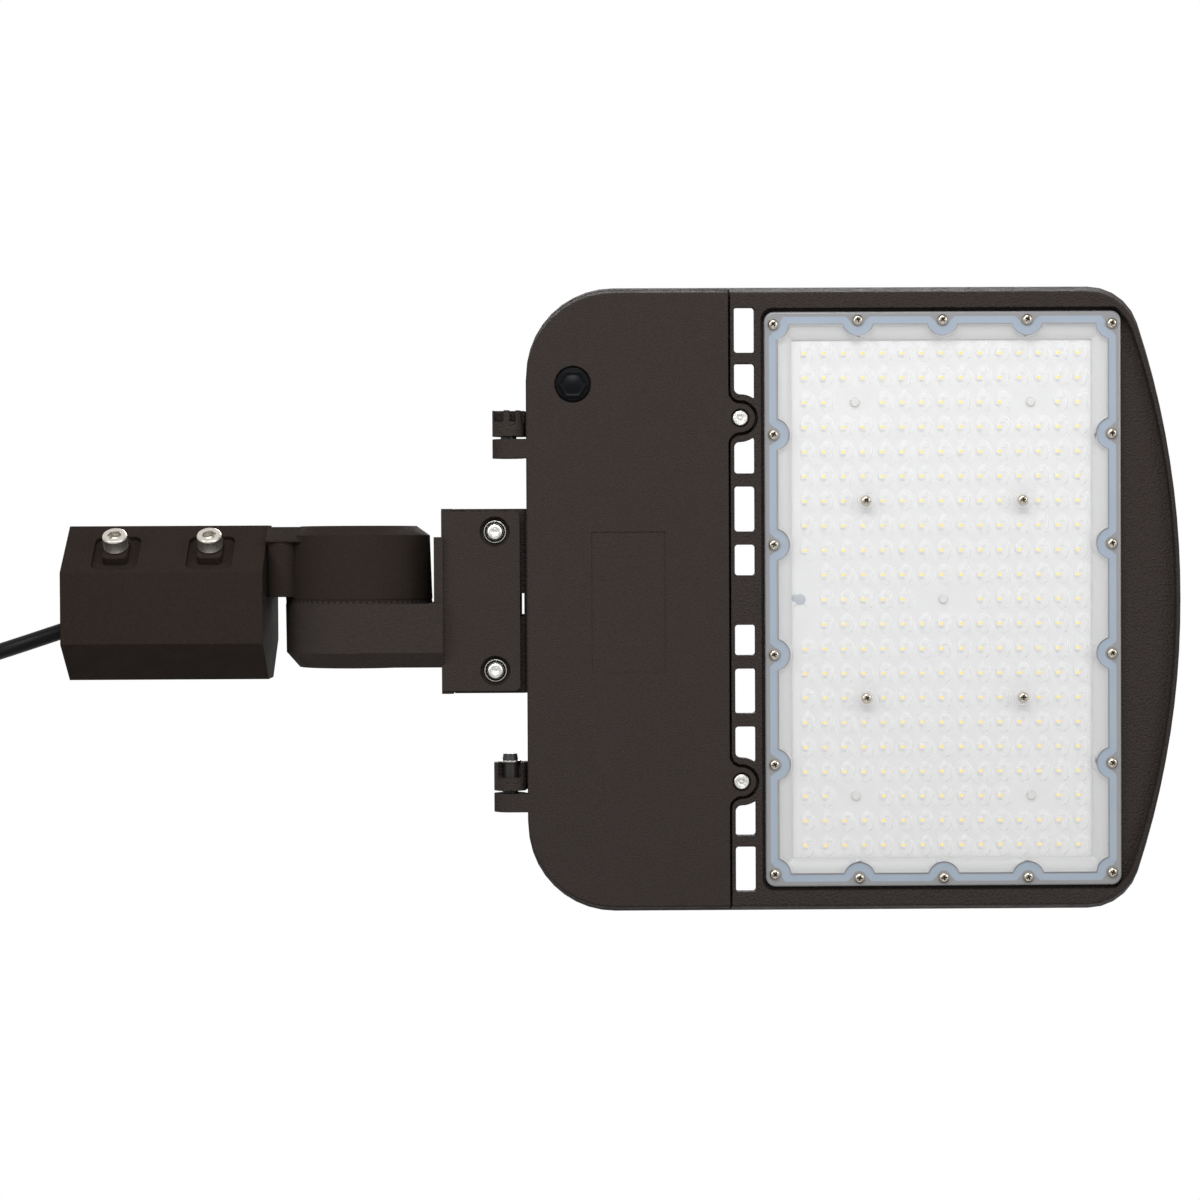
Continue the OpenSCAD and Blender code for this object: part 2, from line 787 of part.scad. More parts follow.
// the recess of the lens plate, which runs on to a thin lip along the nose
module recess_plan() {
    intersection() {
        polygon(head_line(half - rim_in - nose_lip, nose_lip, head_len - rim_nose_in - nose_lip));
        slab(lens_x - recess_gap, -lens_w / 2 - recess_gap, head_len - lens_x,
            lens_w + 2 * recess_gap, lens_r + 1);
    }
}

module lens_plan(in, r) {
    slab(lens_x + in, -lens_w / 2 + in, lens_l - 2 * in, lens_w - 2 * in, r);
}

module screw_rounds(r) {
    for (p = rim_screws())
        translate(p)
            circle(r = r);
}

module fin(y) {
    x1 = nose_at(y, half, head_len) - 14;
    low = fin_floor - 1;
    translate([0, y + fin_t / 2, 0])
        rotate([90, 0, 0])
            linear_extrude(fin_t)
                polygon([[lens_x + 1, low], [lens_x + 1, fin_top - 6], [lens_x + 7, fin_top],
                    [x1 - 90, fin_top], [x1 - 55, fin_top - 3], [x1 - 28, fin_top - 11],
                    [x1 - 8, 0], [x1, tray_z - 2], [x1, low]]);
}

module hinge_lug(y) {
    translate([hinge_x, 0, hinge_z]) {
        rod_y(y[0], y[1] - y[0], lug_r);
        bar([0, 2 - hinge_x], y, seal_z - hinge_z + 0.4, lug_r);
    }
}

module neck() {
    x0 = -plate_len - plate_gap + web_t + neck_gap;
    difference() {
        union() {
            difference() {
                bar([x0, 1], [-rail_out, rail_out], -neck_z, neck_z);
                bar([x0 - 1, -1.8], [rail_t - rail_out, rail_out - rail_t],
                    neck_floor - neck_z, neck_z - neck_floor);
            }
            for (s = [-1, 1])
                translate([boss_x, s * bracket_screw_gap / 2, -neck_z])
                    cylinder(h = 2 * neck_z, r = 8.5);
        }
        bar([-9, -1.5], [-4, -4 + cord_slot], -neck_z - 1, neck_z + 1);
        bar([-1.3, 2], [-rail_out - 1, rail_out + 1], -neck_z - 1, seal_z + 0.4);
        for (s = [-1, 1], m = [0, 1])
            translate([boss_x, s * bracket_screw_gap / 2, 0])
                mirror([0, 0, m])
                    translate([0, 0, -neck_z - 1])
                        cylinder(h = bracket_screw_grip + 2, r = bracket_screw_d / 2 + fit);
    }
}

module housing_body() {
    difference() {
        union() {
            difference() {
                head_tray();
                for (v = [[slot_floor, lens_x + 0.5], [fin_floor, head_len]])
                    translate([0, 0, v[0]])
                        linear_extrude(60)
                            intersection() {
                                polygon(head_line(half - wall - 2, wall + 2, head_len - wall - 2));
                                translate([hump_x - 1, -half]) square([v[1] - hump_x + 1, 2 * half]);
                            }
            }
            driver_hump();
            bar([hump_x - 2, grommet_x + 8], [-duct_w / 2, duct_w / 2], slot_floor - 1, duct_top);
        }
        bay();
    }
}

module housing() {
    color(bronze)
    in_head()
    difference() {
        union() {
            housing_body();
            neck();
            for (i = [0:fin_count - 1])
                fin((i - (fin_count - 1) / 2) * fin_pitch);
            hinge_lug(lug_a);
            hinge_lug(lug_b);
            for (s = [-1, 1])
                translate([ear_x, s * ear_out, slot_floor - 1])
                    cylinder(h = 13, r = 7);
        }
        bar([-0.5, door_len + seam], [-half, half], face_z - 1, seal_z);
        translate([0, 0, face_z - 1]) {
            linear_extrude(ear_t + 1.5)
                ear_line(door_len + seam, ear_r + notch_gap);
            linear_extrude(40)
                vent_slots();
            linear_extrude(recess_z - face_z + 1)
                recess_plan();
        }
        translate([0, 0, recess_z - eps])
            linear_extrude(pocket_z - recess_z + eps)
                difference() {
                    lens_plan(field_in, 4);
                    screw_rounds(boss_keep);
                }
        translate([0, 0, recess_z - eps])
            linear_extrude(gasket_h + eps)
                gasket_shape(soft_gap);
        for (p = rim_screws())
            translate([p[0], p[1], recess_z - 1])
                cylinder(h = 8.5, r = small_d / 2);
        for (p = concat(inner_screws(), board_spots()))
            translate([p[0], p[1], pocket_z - 1])
                cylinder(h = 6, r = small_d / 2);
        for (s = [-1, 1])
            translate([ear_x, s * ear_out, face_z])
                cylinder(h = ear_sink + door_screw_l + 1, r = door_screw_d / 2 + fit);
        for (y = [lug_a, lug_b])
            translate([hinge_x, 0, hinge_z])
                rod_y(y[0] + (y[0] < 0 ? 6.5 : -1), y[1] - y[0] + 1, pin_r + fit);
        for (x = [[-7.2, -2.4], [0.7, 3.9], [6.5, 8.8]])
            translate([hinge_x, 0, hinge_z])
                bar(x, [lug_a[0] - 1, lug_a[0] + 6], -lug_r - 1, 0);
        translate([hinge_x, 0, hinge_z])
            bar([-6.1, 5.6], [lug_b[0] - 1, lug_b[0] + 7.9], -lug_r - 1, 0);
        translate([0, gland_y, 0]) rod_x(-3, 9, gland_r);
        translate([0, 0, wire_z]) rod_x(hump_x - 12, grommet_x - hump_x + 12, 3.2);
        bar([grommet_x - 9, grommet_x + 4], [-4, 4], wire_z - 3.5, wire_z + 3.5);
        translate([grommet_x, 0, pocket_z - 1]) cylinder(h = wire_z - pocket_z + 1, r = 4);
        for (p = driver_screw_spots())
            translate([p[0], p[1], bay_top - 1]) cylinder(h = 4, r = m4_r + fit);
        for (p = [surge_spot, earth_spot])
            translate([p[0], p[1], bay_top - 1]) cylinder(h = 4, r = m4_r + fit);
    }
}

// ---------------------------------------------------------------- light

module gasket_shape(grow) {
    difference() {
        difference() {
            lens_plan(gasket_in - grow, 3);
            screw_rounds(loop_r - grow);
        }
        difference() {
            lens_plan(gasket_in + gasket_w + grow, 3);
            screw_rounds(loop_r + gasket_w + grow);
        }
    }
}

module optic(p) {
    k = (optic_l - optic_w) / 2;
    translate(p) {
        translate([-optic_w / 2, -k]) square([optic_w, 2 * k]);
        for (s = [-1, 1])
            translate([0, s * k])
                circle(r = optic_w / 2, $fn = 24);
    }
}

module lens_plate() {
    color([0.82, 0.86, 0.9])
    in_head()
    difference() {
        union() {
            translate([0, 0, recess_z - lens_t])
                linear_extrude(lens_t)
                    lens_plan(0, lens_r);
            translate([0, 0, recess_z - lens_t - 0.8])
                linear_extrude(0.8 + eps)
                    difference() {
                        lens_plan(field_in, 4);
                        screw_rounds(5.4);
                    }
            translate([0, 0, recess_z - lens_t - 0.8 - optic_h])
                linear_extrude(optic_h + eps)
                    for (p = led_spots())
                        optic(p);
        }
        for (p = concat(rim_screws(), inner_screws()))
            translate([p[0], p[1], face_z - 5])
                cylinder(h = 20, r = small_d / 2 + 0.2);
    }
}

module lens_gasket() {
    color([0.5, 0.56, 0.62])
    in_head()
        translate([0, 0, recess_z])
            linear_extrude(gasket_h)
                gasket_shape(0);
}

// a pan head screw pointing up, its head's seat at Z = 0
module small_screw(l) {
    translate([0, 0, -eps]) cylinder(h = l + eps, r = small_d / 2 - fit);
    translate([0, 0, -head_up]) cylinder(h = head_up, r1 = head_in - 0.7, r2 = head_in);
}

module lens_screws() {
    color(steel)
    in_head() {
        for (p = rim_screws())
            translate([p[0], p[1], recess_z - lens_t]) small_screw(lens_t + 6);
        for (p = inner_screws())
            translate([p[0], p[1], recess_z - lens_t - 0.8]) small_screw(lens_t + 0.8 + 8);
    }
}

module led_board() {
    color([0.95, 0.95, 0.93])
    in_head()
    difference() {
        union() {
            translate([0, 0, pocket_z - board_t])
                linear_extrude(board_t)
                    slab(lens_x + (lens_l - board_l) / 2, -board_w / 2, board_l, board_w, 2);
            for (p = led_spots())
                translate([p[0] - chip / 2 - 1.4, p[1] - chip / 2, pocket_z - board_t - chip_h])
                    cube([chip, chip, chip_h + eps]);
        }
        for (p = concat(inner_screws(), board_spots()))
            translate([p[0], p[1], pocket_z - 5])
                cylinder(h = 10, r = small_d / 2 + 0.2);
    }
}

module board_screws() {
    color(steel)
    in_head()
        for (p = board_spots())
            translate([p[0], p[1], pocket_z - board_t]) small_screw(board_t + 4.5);
}

module board_grommet() {
    color(black)
    in_head()
        translate([grommet_x, 0, pocket_z])
            difference() {
                cylinder(h = 6, r = 4 - fit);
                translate([0, 0, -1]) cylinder(h = 8, r = wire_r + soft_gap);
            }
}

// ---------------------------------------------------------------- driver compartment

surge_x = 20;
surge_y = -112;
surge_l = 46;
surge_w = 28;
surge_h = 22;
surge_spot = [surge_x + surge_l + 5, surge_y + surge_w / 2];
earth_spot = [82, -66];

function driver_screw_spots() = [for (i = [0.2, 0.8], s = [-tab_l / 2, driver_l + tab_l / 2])
    [driver_x + i * driver_w, driver_y + s]];

module led_driver() {
    color([0.75, 0.76, 0.78])
    in_head()
    difference() {
        union() {
            bar([driver_x, driver_x + driver_w], [driver_y, driver_y + driver_l],
                bay_top - driver_h, bay_top);
            bar([driver_x, driver_x + driver_w], [driver_y - tab_l, driver_y + driver_l + tab_l],
                bay_top - tab_t, bay_top);
        }
        for (p = driver_screw_spots())
            translate([p[0], p[1], bay_top - 10]) cylinder(h = 12, r = m4_r + 0.3);
    }
}

module bay_screw(p, t) {
    translate([p[0], p[1], bay_top - t]) {
        translate([0, 0, -eps]) cylinder(h = t + m4_grip - 0.5 + eps, r = m4_r);
        translate([0, 0, -m4_head_h]) cylinder(h = m4_head_h, r1 = m4_head - 1, r2 = m4_head);
    }
}

module driver_screws() {
    color(steel)
    in_head()
        for (p = driver_screw_spots())
            bay_screw(p, tab_t);
}

module surge_protector() {
    color([0.16, 0.3, 0.55])
    in_head()
    difference() {
        union() {
            translate([0, 0, bay_top - surge_h])
                linear_extrude(surge_h)
                    slab(surge_x, surge_y, surge_l, surge_w, 5);
            bar([surge_x + surge_l - 2, surge_x + surge_l + 10], [surge_y + 7, surge_y + surge_w - 7],
                bay_top - tab_t, bay_top);
        }
        translate([surge_spot[0], surge_spot[1], bay_top - 10]) cylinder(h = 12, r = m4_r + 0.3);
    }
}

module surge_screw() {
    color(steel)
    in_head()
        bay_screw(surge_spot, tab_t);
}

module earth_screw() {
    color([0.1, 0.5, 0.25])
    in_head()
        bay_screw(earth_spot, 0);
}

module splice_connectors() {
    in_head()
        for (k = [0:2])
            color([[0.9, 0.6, 0.1], [0.8, 0.15, 0.1], [0.1, 0.45, 0.2]][k])
                translate([30 + 16 * k, -76, bay_top - 5.7])
                    rotate([-90, 0, 0])
                        cylinder(h = 18, r1 = 4.2, r2 = 5.5);
}

module led_wires() {
    x0 = driver_x + driver_w;
    color([0.75, 0.2, 0.15])
    in_head()
        tube(smooth([[x0, 0, -2], [x0 + 3, 0, -2], [x0 + 6, 0, -2], [x0 + 12, 0, -7], [x0 + 17, 0, -12],
            [x0 + 24, 0, wire_z], [grommet_x - 20, 0, wire_z], [grommet_x - 10, 0, wire_z],
            [grommet_x - 4, 0, wire_z - 0.6],
            [grommet_x - 1, 0, wire_z - 2.4], [grommet_x, 0, wire_z - 5], [grommet_x, 0, pocket_z + 3],
            [grommet_x, 0, pocket_z]], 2), [0, 1, 0], wire_r, 8);
}

module cable_gland() {
    color(black)
    in_head()
        translate([0, gland_y, 0]) {
            rod_x(-14, 19, gland_r - fit);
            translate([-9, 0, 0])
                rotate([0, 90, 0])
                    cylinder(h = 7, r = gland_r + 2.5, $fn = 6);
            rod_x(wall + 0.1, 4, gland_r + 2.5);
        }
}

module driver_lead() {
    x0 = kx + way_r + 3;
    x1 = rear_x - 14;
    color(black)
        tube(smooth([[x0, mid_y + way_d / 2 + 2, 0], [x0 + 9, mid_y + way_d / 2 + 2, 0],
            [x0 + 20, mid_y + way_d / 2 + 2, 0], [x1 - 20, mid_y + way_d / 2 + 4, 0],
            [x1 - 8, mid_y + gland_y, 0], [x1 - 4, mid_y + gland_y, 0], [x1, mid_y + gland_y, 0]], 2),
            [0, 0, 1], cord_d / 2, 10);
}

// ---------------------------------------------------------------- driver door

module door_plan(in) {
    polygon(rear_line(half - rim_in - in, in, door_len - in));
}

module door_lug(y) {
    translate([hinge_x, 0, hinge_z]) {
        rod_y(y[0], y[1] - y[0], lug_r);
        bar([0, 1 - hinge_x], y, -lug_r, door_h - lug_r);
    }
}

module driver_door() {
    color(bronze)
    in_head()
    difference() {
        union() {
            difference() {
                intersection() {
                    head_tray();
                    bar([-1, door_len], [-half - 1, half + 1], face_z - 1, face_z + door_h);
                }
                translate([0, 0, face_z + door_t])
                    linear_extrude(20)
                        door_plan(4);
            }
            translate([0, 0, face_z])
                linear_extrude(ear_t)
                    difference() {
                        ear_line(door_len, ear_r);
                        translate([0, -half]) square([door_len - 3, 2 * half]);
                    }
            translate([port_x, port_y, face_z + 0.5]) cylinder(h = 7, r = port_r + 2.5);
            door_lug(door_lug_a);
            door_lug(door_lug_b);
        }
        for (s = [-1, 1])
            translate([ear_x, s * ear_out, face_z - 1]) {
                cylinder(h = 20, r = door_screw_d / 2 + fit);
                cylinder(h = 1 + ear_sink, r = door_head + 0.9);
            }
        translate([port_x, port_y, face_z - 1]) {
            cylinder(h = port_deep + 1, r = port_r);
            cylinder(h = 20, r = plug_r + fit);
        }
        bar([34, 72.7], [-36, 38], face_z - 1, face_z + 0.4);
        translate([hinge_x, 0, hinge_z])
            for (y = [door_lug_a, door_lug_b])
                rod_y(y[0] - 1, y[1] - y[0] + 2, pin_r + fit);
    }
}

module door_gasket() {
    color([0.3, 0.32, 0.34])
    in_head()
        translate([0, 0, face_z + door_h])
            linear_extrude(seal_z - face_z - door_h)
                difference() {
                    door_plan(0.8);
                    door_plan(3.6);
                }
}

module door_screws() {
    color(steel)
    in_head()
        for (s = [-1, 1])
            translate([ear_x, s * ear_out, face_z + ear_sink]) {
                translate([0, 0, -eps])
                    cylinder(h = door_screw_l + eps, r = door_screw_d / 2);
                difference() {
                    translate([0, 0, -door_head_h])
                        cylinder(h = door_head_h, r1 = 0.8 * door_head, r2 = door_head);
                    translate([0, 0, -door_head_h - 1])
                        cylinder(h = 1 + door_head_h / 2, r = door_head / 2, $fn = 6);
                }
            }
}

module hinge_pins() {
    color([0.2, 0.19, 0.19])
    in_head()
    translate([hinge_x, 0, hinge_z]) {
        rod_y(lug_a[0] + 7, door_lug_a[1] - lug_a[0] - 8, pin_r);
        rod_y(lug_b[0] - 0.3, door_lug_b[1] - lug_b[0] - 0.7, pin_r);
        rod_y(clip_y - 0.2, 1.4, groove_r);
        translate([0, pin_tip, 0])
            rotate([-90, 0, 0])
                cylinder(h = clip_y - 0.1 - pin_tip, r1 = pin_r - 0.6, r2 = pin_r);
    }
}

module pin_clip() {
    color(steel)
    in_head()
        translate([hinge_x, 0, hinge_z])
            difference() {
                rod_y(clip_y, clip_t, pin_r + 1.6);
                rod_y(clip_y - 1, clip_t + 2, groove_r + fit);
            }
}

module port_plug() {
    color(black)
    in_head()
        translate([port_x, port_y, face_z + port_deep - seal_t]) {
            translate([0, 0, -3])
                rotate([0, 0, 30])
                    cylinder(h = 3, r = port_hex / sqrt(3), $fn = 6);
            translate([0, 0, -eps]) cylinder(h = 6, r = plug_r);
        }
}

module port_seal() {
    color([0.3, 0.1, 0.1])
    in_head()
        translate([port_x, port_y, face_z + port_deep - seal_t])
            difference() {
                cylinder(h = seal_t, r = port_r - 1.5);
                translate([0, 0, -1]) cylinder(h = seal_t + 2, r = plug_r + fit);
            }
}

fitter_sleeve();
clamp_bolts();
knuckle_bolt();
knuckle_washers();
knuckle_nut();
cord_bushing();
supply_cord();
cord_coil();
cord_tie();
lead_ends();
knuckle_arm();
bracket_screws();
bracket_washers();
housing();
led_board();
board_screws();
board_grommet();
lens_plate();
lens_gasket();
lens_screws();
led_driver();
driver_screws();
surge_protector();
surge_screw();
splice_connectors();
earth_screw();
led_wires();
cable_gland();
driver_lead();
driver_door();
door_gasket();
door_screws();
hinge_pins();
pin_clip();
port_plug();
port_seal();
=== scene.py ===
# Area light on a slip fitter: looks, small parts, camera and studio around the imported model.
# Lengths are in millimetres until a mesh or curve is made of them. Blender's own are in metres.

import math

import bmesh
import bpy
from mathutils import Matrix, Vector


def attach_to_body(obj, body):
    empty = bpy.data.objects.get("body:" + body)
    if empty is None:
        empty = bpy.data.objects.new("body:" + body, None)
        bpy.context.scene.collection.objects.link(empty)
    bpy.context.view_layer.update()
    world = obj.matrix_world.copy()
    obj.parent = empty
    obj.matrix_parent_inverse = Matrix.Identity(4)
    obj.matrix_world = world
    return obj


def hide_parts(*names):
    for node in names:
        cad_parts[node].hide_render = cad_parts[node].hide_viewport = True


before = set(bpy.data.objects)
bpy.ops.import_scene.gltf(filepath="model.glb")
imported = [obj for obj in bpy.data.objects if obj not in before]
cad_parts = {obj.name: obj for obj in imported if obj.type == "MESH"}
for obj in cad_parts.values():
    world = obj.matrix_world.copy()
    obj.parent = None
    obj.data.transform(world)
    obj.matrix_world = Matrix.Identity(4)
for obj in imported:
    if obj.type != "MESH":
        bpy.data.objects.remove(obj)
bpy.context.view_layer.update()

MM = 0.001
REAR = Vector((243.5, -4.0, 0.0))  # the head's rear wall on its middle line
FACE = -36.0  # height of the head's rim

# ---------------------------------------------------------------- camera

SENSOR_WIDTH, FOCAL_LENGTH = 36.0, 82.857
CAMERA_AT = (0.26574, -0.03035, -1.48258)  # in metres, below the head
CAMERA_TURN = (178.977, 0.643, 0.278)  # in degrees

camera = bpy.data.objects.new("camera", bpy.data.cameras.new("camera"))
camera.data.sensor_width = SENSOR_WIDTH
camera.data.lens = FOCAL_LENGTH
camera.location = CAMERA_AT
camera.rotation_euler = [math.radians(a) for a in CAMERA_TURN]
bpy.context.scene.collection.objects.link(camera)
bpy.context.scene.camera = camera

# ---------------------------------------------------------------- materials

NOISE_SPAN = (0.3, 0.7)  # nearly all of a noise lies between these


def material(name, colour, rough=0.5, metal=0.0, **sockets):
    """A principled material; the spaces in a socket's name are written as underscores."""
    mat = bpy.data.materials.new(name)
    mat.use_nodes = True
    mat.diffuse_color = (*colour, 1.0)
    shader = mat.node_tree.nodes["Principled BSDF"]
    shader.inputs["Base Color"].default_value = (*colour, 1.0)
    shader.inputs["Roughness"].default_value = rough
    shader.inputs["Metallic"].default_value = metal
    for socket, value in sockets.items():
        shader.inputs[socket.replace("_", " ")].default_value = value
    return mat


def noise(mat, scale, detail=2.0):
    """A noise in the object's own metres; its output is a factor from 0 to 1."""
    nodes, links = mat.node_tree.nodes, mat.node_tree.links
    where = nodes.new("ShaderNodeTexCoord")
    field = nodes.new("ShaderNodeTexNoise")
    field.inputs["Scale"].default_value = scale
    field.inputs["Detail"].default_value = detail
    links.new(where.outputs["Object"], field.inputs["Vector"])
    return field.outputs["Fac"]


def relief(mat, height, strength, distance, edge=0.0):
    """Bumps from a height, over edges rounded by a radius in metres."""
    nodes, links = mat.node_tree.nodes, mat.node_tree.links
    bump = nodes.new("ShaderNodeBump")
    bump.inputs["Strength"].default_value = strength
    bump.inputs["Distance"].default_value = distance
    links.new(height, bump.inputs["Height"])
    if edge:
        soft = nodes.new("ShaderNodeBevel")
        soft.samples = 6
        soft.inputs["Radius"].default_value = edge
        links.new(soft.outputs["Normal"], bump.inputs["Normal"])
    links.new(bump.outputs["Normal"], nodes["Principled BSDF"].inputs["Normal"])


def run_colour(mat, factor, span, low, high):
    """Runs the base colour from low to high while a factor crosses a span."""
    nodes, links = mat.node_tree.nodes, mat.node_tree.links
    ramp = nodes.new("ShaderNodeValToRGB")
    first, last = ramp.color_ramp.elements
    first.position, last.position = span
    first.color, last.color = (*low, 1.0), (*high, 1.0)
    links.new(factor, ramp.inputs["Fac"])
    links.new(ramp.outputs["Color"], nodes["Principled BSDF"].inputs["Base Color"])


def run_number(mat, socket, factor, span, low, high):
    """Runs a socket from low to high while a factor crosses a span."""
    nodes, links = mat.node_tree.nodes, mat.node_tree.links
    scale = nodes.new("ShaderNodeMapRange")
    for name, value in zip(("From Min", "From Max", "To Min", "To Max"), (*span, low, high)):
        scale.inputs[name].default_value = value
    links.new(factor, scale.inputs["Value"])
    links.new(scale.outputs["Result"], nodes["Principled BSDF"].inputs[socket])


def shade(colour, k):
    return tuple(k * c for c in colour)


def casting(name, colour, grain, depth, edge, rough, gloss):
    """Powder coat over a casting: its colour speckled and its gloss patchy.

    The orange peel has a grain size in metres and a depth in grains, and edge is the
    radius that edges are rounded by.
    """
    speckle, patches = 1300, 90
    mat = material(name, colour, rough, Specular_IOR_Level=gloss)
    run_colour(mat, noise(mat, speckle), NOISE_SPAN, shade(colour, 0.86), shade(colour, 1.14))
    dull = min(1.0, 1.1 * rough)
    run_number(mat, "Roughness", noise(mat, patches, 3), NOISE_SPAN, 0.9 * rough, dull)
    relief(mat, noise(mat, 1 / grain, 2.5), 1.0, depth * grain, edge)
    return mat


def metal(name, colour, rough, scratches=700):
    """Bare metal with fine spots in its gloss and its surface."""
    mat = material(name, colour, rough, 1.0)
    spots = noise(mat, scratches, 3)
    run_number(mat, "Roughness", spots, NOISE_SPAN, 0.75 * rough, 1.3 * rough)
    relief(mat, spots, strength=0.12, distance=0.0001, edge=0.0002)
    return mat


def moulded(name, colour, rough, grain, strength, distance, edge=0.0, **sockets):
    """A plain colour with a fine even relief; grain is the scale of its noise."""
    mat = material(name, colour, rough, **sockets)
    relief(mat, noise(mat, grain), strength, distance, edge)
    return mat


def glaze(name, colour, rough, face_on, edge_on, darker):
    """Clear moulded plastic: thin face on, denser and darker where the surface turns away."""
    mat = material(name, colour, rough, Specular_IOR_Level=0.6)
    layer = mat.node_tree.nodes.new("ShaderNodeLayerWeight")
    layer.inputs["Blend"].default_value = 0.5
    facing = layer.outputs["Facing"]
    run_number(mat, "Alpha", facing, (0.0, 1.0), face_on, edge_on)
    run_colour(mat, facing, (0.0, 0.8), colour, shade(colour, darker))
    return mat


BRONZE = (0.0345, 0.0274, 0.0250)
# the sleeve's bronze is the same coat made darker, as painted shade for its faces turned from the
# light
SLEEVE_SHADED_BRONZE = (0.0235, 0.0176, 0.0148)
coat = casting(
    "bronze_coat", shade(BRONZE, 1.07),
    grain=0.0012, depth=1.5, edge=0.0007, rough=0.68, gloss=0.08,
)
door_coat = casting(
    "bronze_door_coat", shade(BRONZE, 1.05),
    grain=0.0008, depth=1.0, edge=0.0006, rough=0.75, gloss=0.05,
)
sleeve_coat = casting(
    "bronze_sleeve_coat", SLEEVE_SHADED_BRONZE,
    grain=0.0007, depth=0.6, edge=0.0009, rough=0.78, gloss=0.03,
)

steel = metal("stainless_steel", (0.70, 0.68, 0.64), 0.26)
knurled_steel = metal("knurled_steel", (0.60, 0.57, 0.52), 0.38, scratches=1600)
bright_steel = metal("bright_steel", (0.86, 0.85, 0.82), 0.34)
warm_steel = metal("nickel_screw", (0.66, 0.60, 0.50), 0.2)
copper = metal("bare_copper", (0.80, 0.38, 0.20), 0.3)
case_metal = metal("driver_case_metal", (0.55, 0.56, 0.57), 0.4)
dull_zinc = material("dull_zinc", (0.68, 0.68, 0.66), 0.6)
green_steel = material("green_earth_screw", (0.02, 0.20, 0.06), 0.35, metal=0.4)
# black for the hinge pins' own finish, and as painted shade on the pan screws' feet and crosses
black_steel_and_shade = moulded(
    "black_steel_and_painted_shade", (0.018, 0.016, 0.015), 0.4,
    grain=800, strength=0.15, distance=0.0001, edge=0.0003, Specular_IOR_Level=0.4,
)
# black as painted shade: the cup washers' floors, in the shadow of the screw heads
painted_shade_black = moulded(
    "painted_shade_black", (0.005, 0.0046, 0.0045), 0.5,
    grain=1200, strength=0.2, distance=0.0001, Specular_IOR_Level=0.12,
)

rubber = moulded(
    "black_rubber", (0.0036, 0.0036, 0.0044), 0.45,
    grain=900, strength=0.15, distance=0.0002, Specular_IOR_Level=0.14,
)
plastic = moulded(
    "black_plastic", (0.0032, 0.0036, 0.0048), 0.32,
    grain=1500, strength=0.2, distance=0.0001, edge=0.0004, Specular_IOR_Level=0.1,
)
white_plastic = material("white_insulation", (0.78, 0.78, 0.76), 0.4)
green_plastic = material("green_insulation", (0.02, 0.22, 0.07), 0.4)
red_plastic = material("red_insulation", (0.45, 0.03, 0.02), 0.4)
orange_plastic = material("orange_cap", (0.75, 0.28, 0.02), 0.42)
blue_plastic = material("surge_blue", (0.04, 0.10, 0.32), 0.42)

silicone = moulded(
    "grey_silicone", (0.30, 0.38, 0.47), 0.5, grain=500, strength=0.1, distance=0.0002
)
sealant = moulded(
    "pale_sealant", (0.40, 0.44, 0.49), 0.55, grain=700, strength=0.2, distance=0.0002
)
grey_seal = material("grey_grommet", (0.30, 0.32, 0.36), 0.6)
dark_seal = material("dark_silicone", (0.05, 0.052, 0.055), 0.6)

board_white = material("white_solder_mask", (0.752, 0.755, 0.765), 0.5)
pad_grey = material("solder_pads", (0.60, 0.60, 0.60), 0.4)
# the phosphor's emission is a painted glow: the chips are not lit
painted_glow_phosphor = material(
    "yellow_phosphor_painted_glow", (0.98, 0.60, 0.03), 0.5,
    Emission_Color=(1.0, 0.60, 0.04, 1.0), Emission_Strength=0.45,
)

lens_field = glaze(
    "clear_lens_field", (0.93, 0.93, 0.93), 0.2, face_on=0.14, edge_on=0.75, darker=0.8
)
lens_margin = glaze(
    "frosted_lens_margin", (0.66, 0.663, 0.67), 0.35, face_on=0.92, edge_on=0.96, darker=0.95
)
lens_back = glaze(
    "clear_lens_back", (0.93, 0.93, 0.93), 0.3, face_on=0.04, edge_on=0.5, darker=0.9
)
lens_rim = glaze(
    "frosted_lens_rim", (0.335, 0.335, 0.345), 0.22, face_on=0.72, edge_on=0.95, darker=0.8
)
lens_band = glaze(
    "clear_lens_band", (0.47, 0.55, 0.66), 0.16, face_on=0.6, edge_on=0.9, darker=0.8
)

# the CAD nodes that keep their shapes
CAD_LOOKS = {
    coat: "housing",
    door_coat: "driver_door knuckle_arm",
    sleeve_coat: "fitter_sleeve",
    steel: "knuckle_bolt knuckle_washers knuckle_nut driver_screws surge_screw pin_clip",
    dull_zinc: "board_screws",
    grey_seal: "board_grommet",
    black_steel_and_shade: "hinge_pins",
    green_steel: "earth_screw",
    rubber: "cord_bushing driver_lead",
    plastic: "cable_gland cord_tie",
    red_plastic: "led_wires",
    orange_plastic: "splice_connectors",
    board_white: "led_board",
    silicone: "lens_gasket",
    dark_seal: "door_gasket port_seal",
    case_metal: "led_driver",
    blue_plastic: "surge_protector",
}
for look, names in CAD_LOOKS.items():
    for name in names.split():
        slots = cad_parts[name].data.materials
        slots.clear()
        slots.append(look)

# ---------------------------------------------------------------- mesh tools

OPEN = (False, False)  # a wall with neither end closed
FLIP = Matrix.Rotation(math.pi, 4, "X")  # turns a place to face down


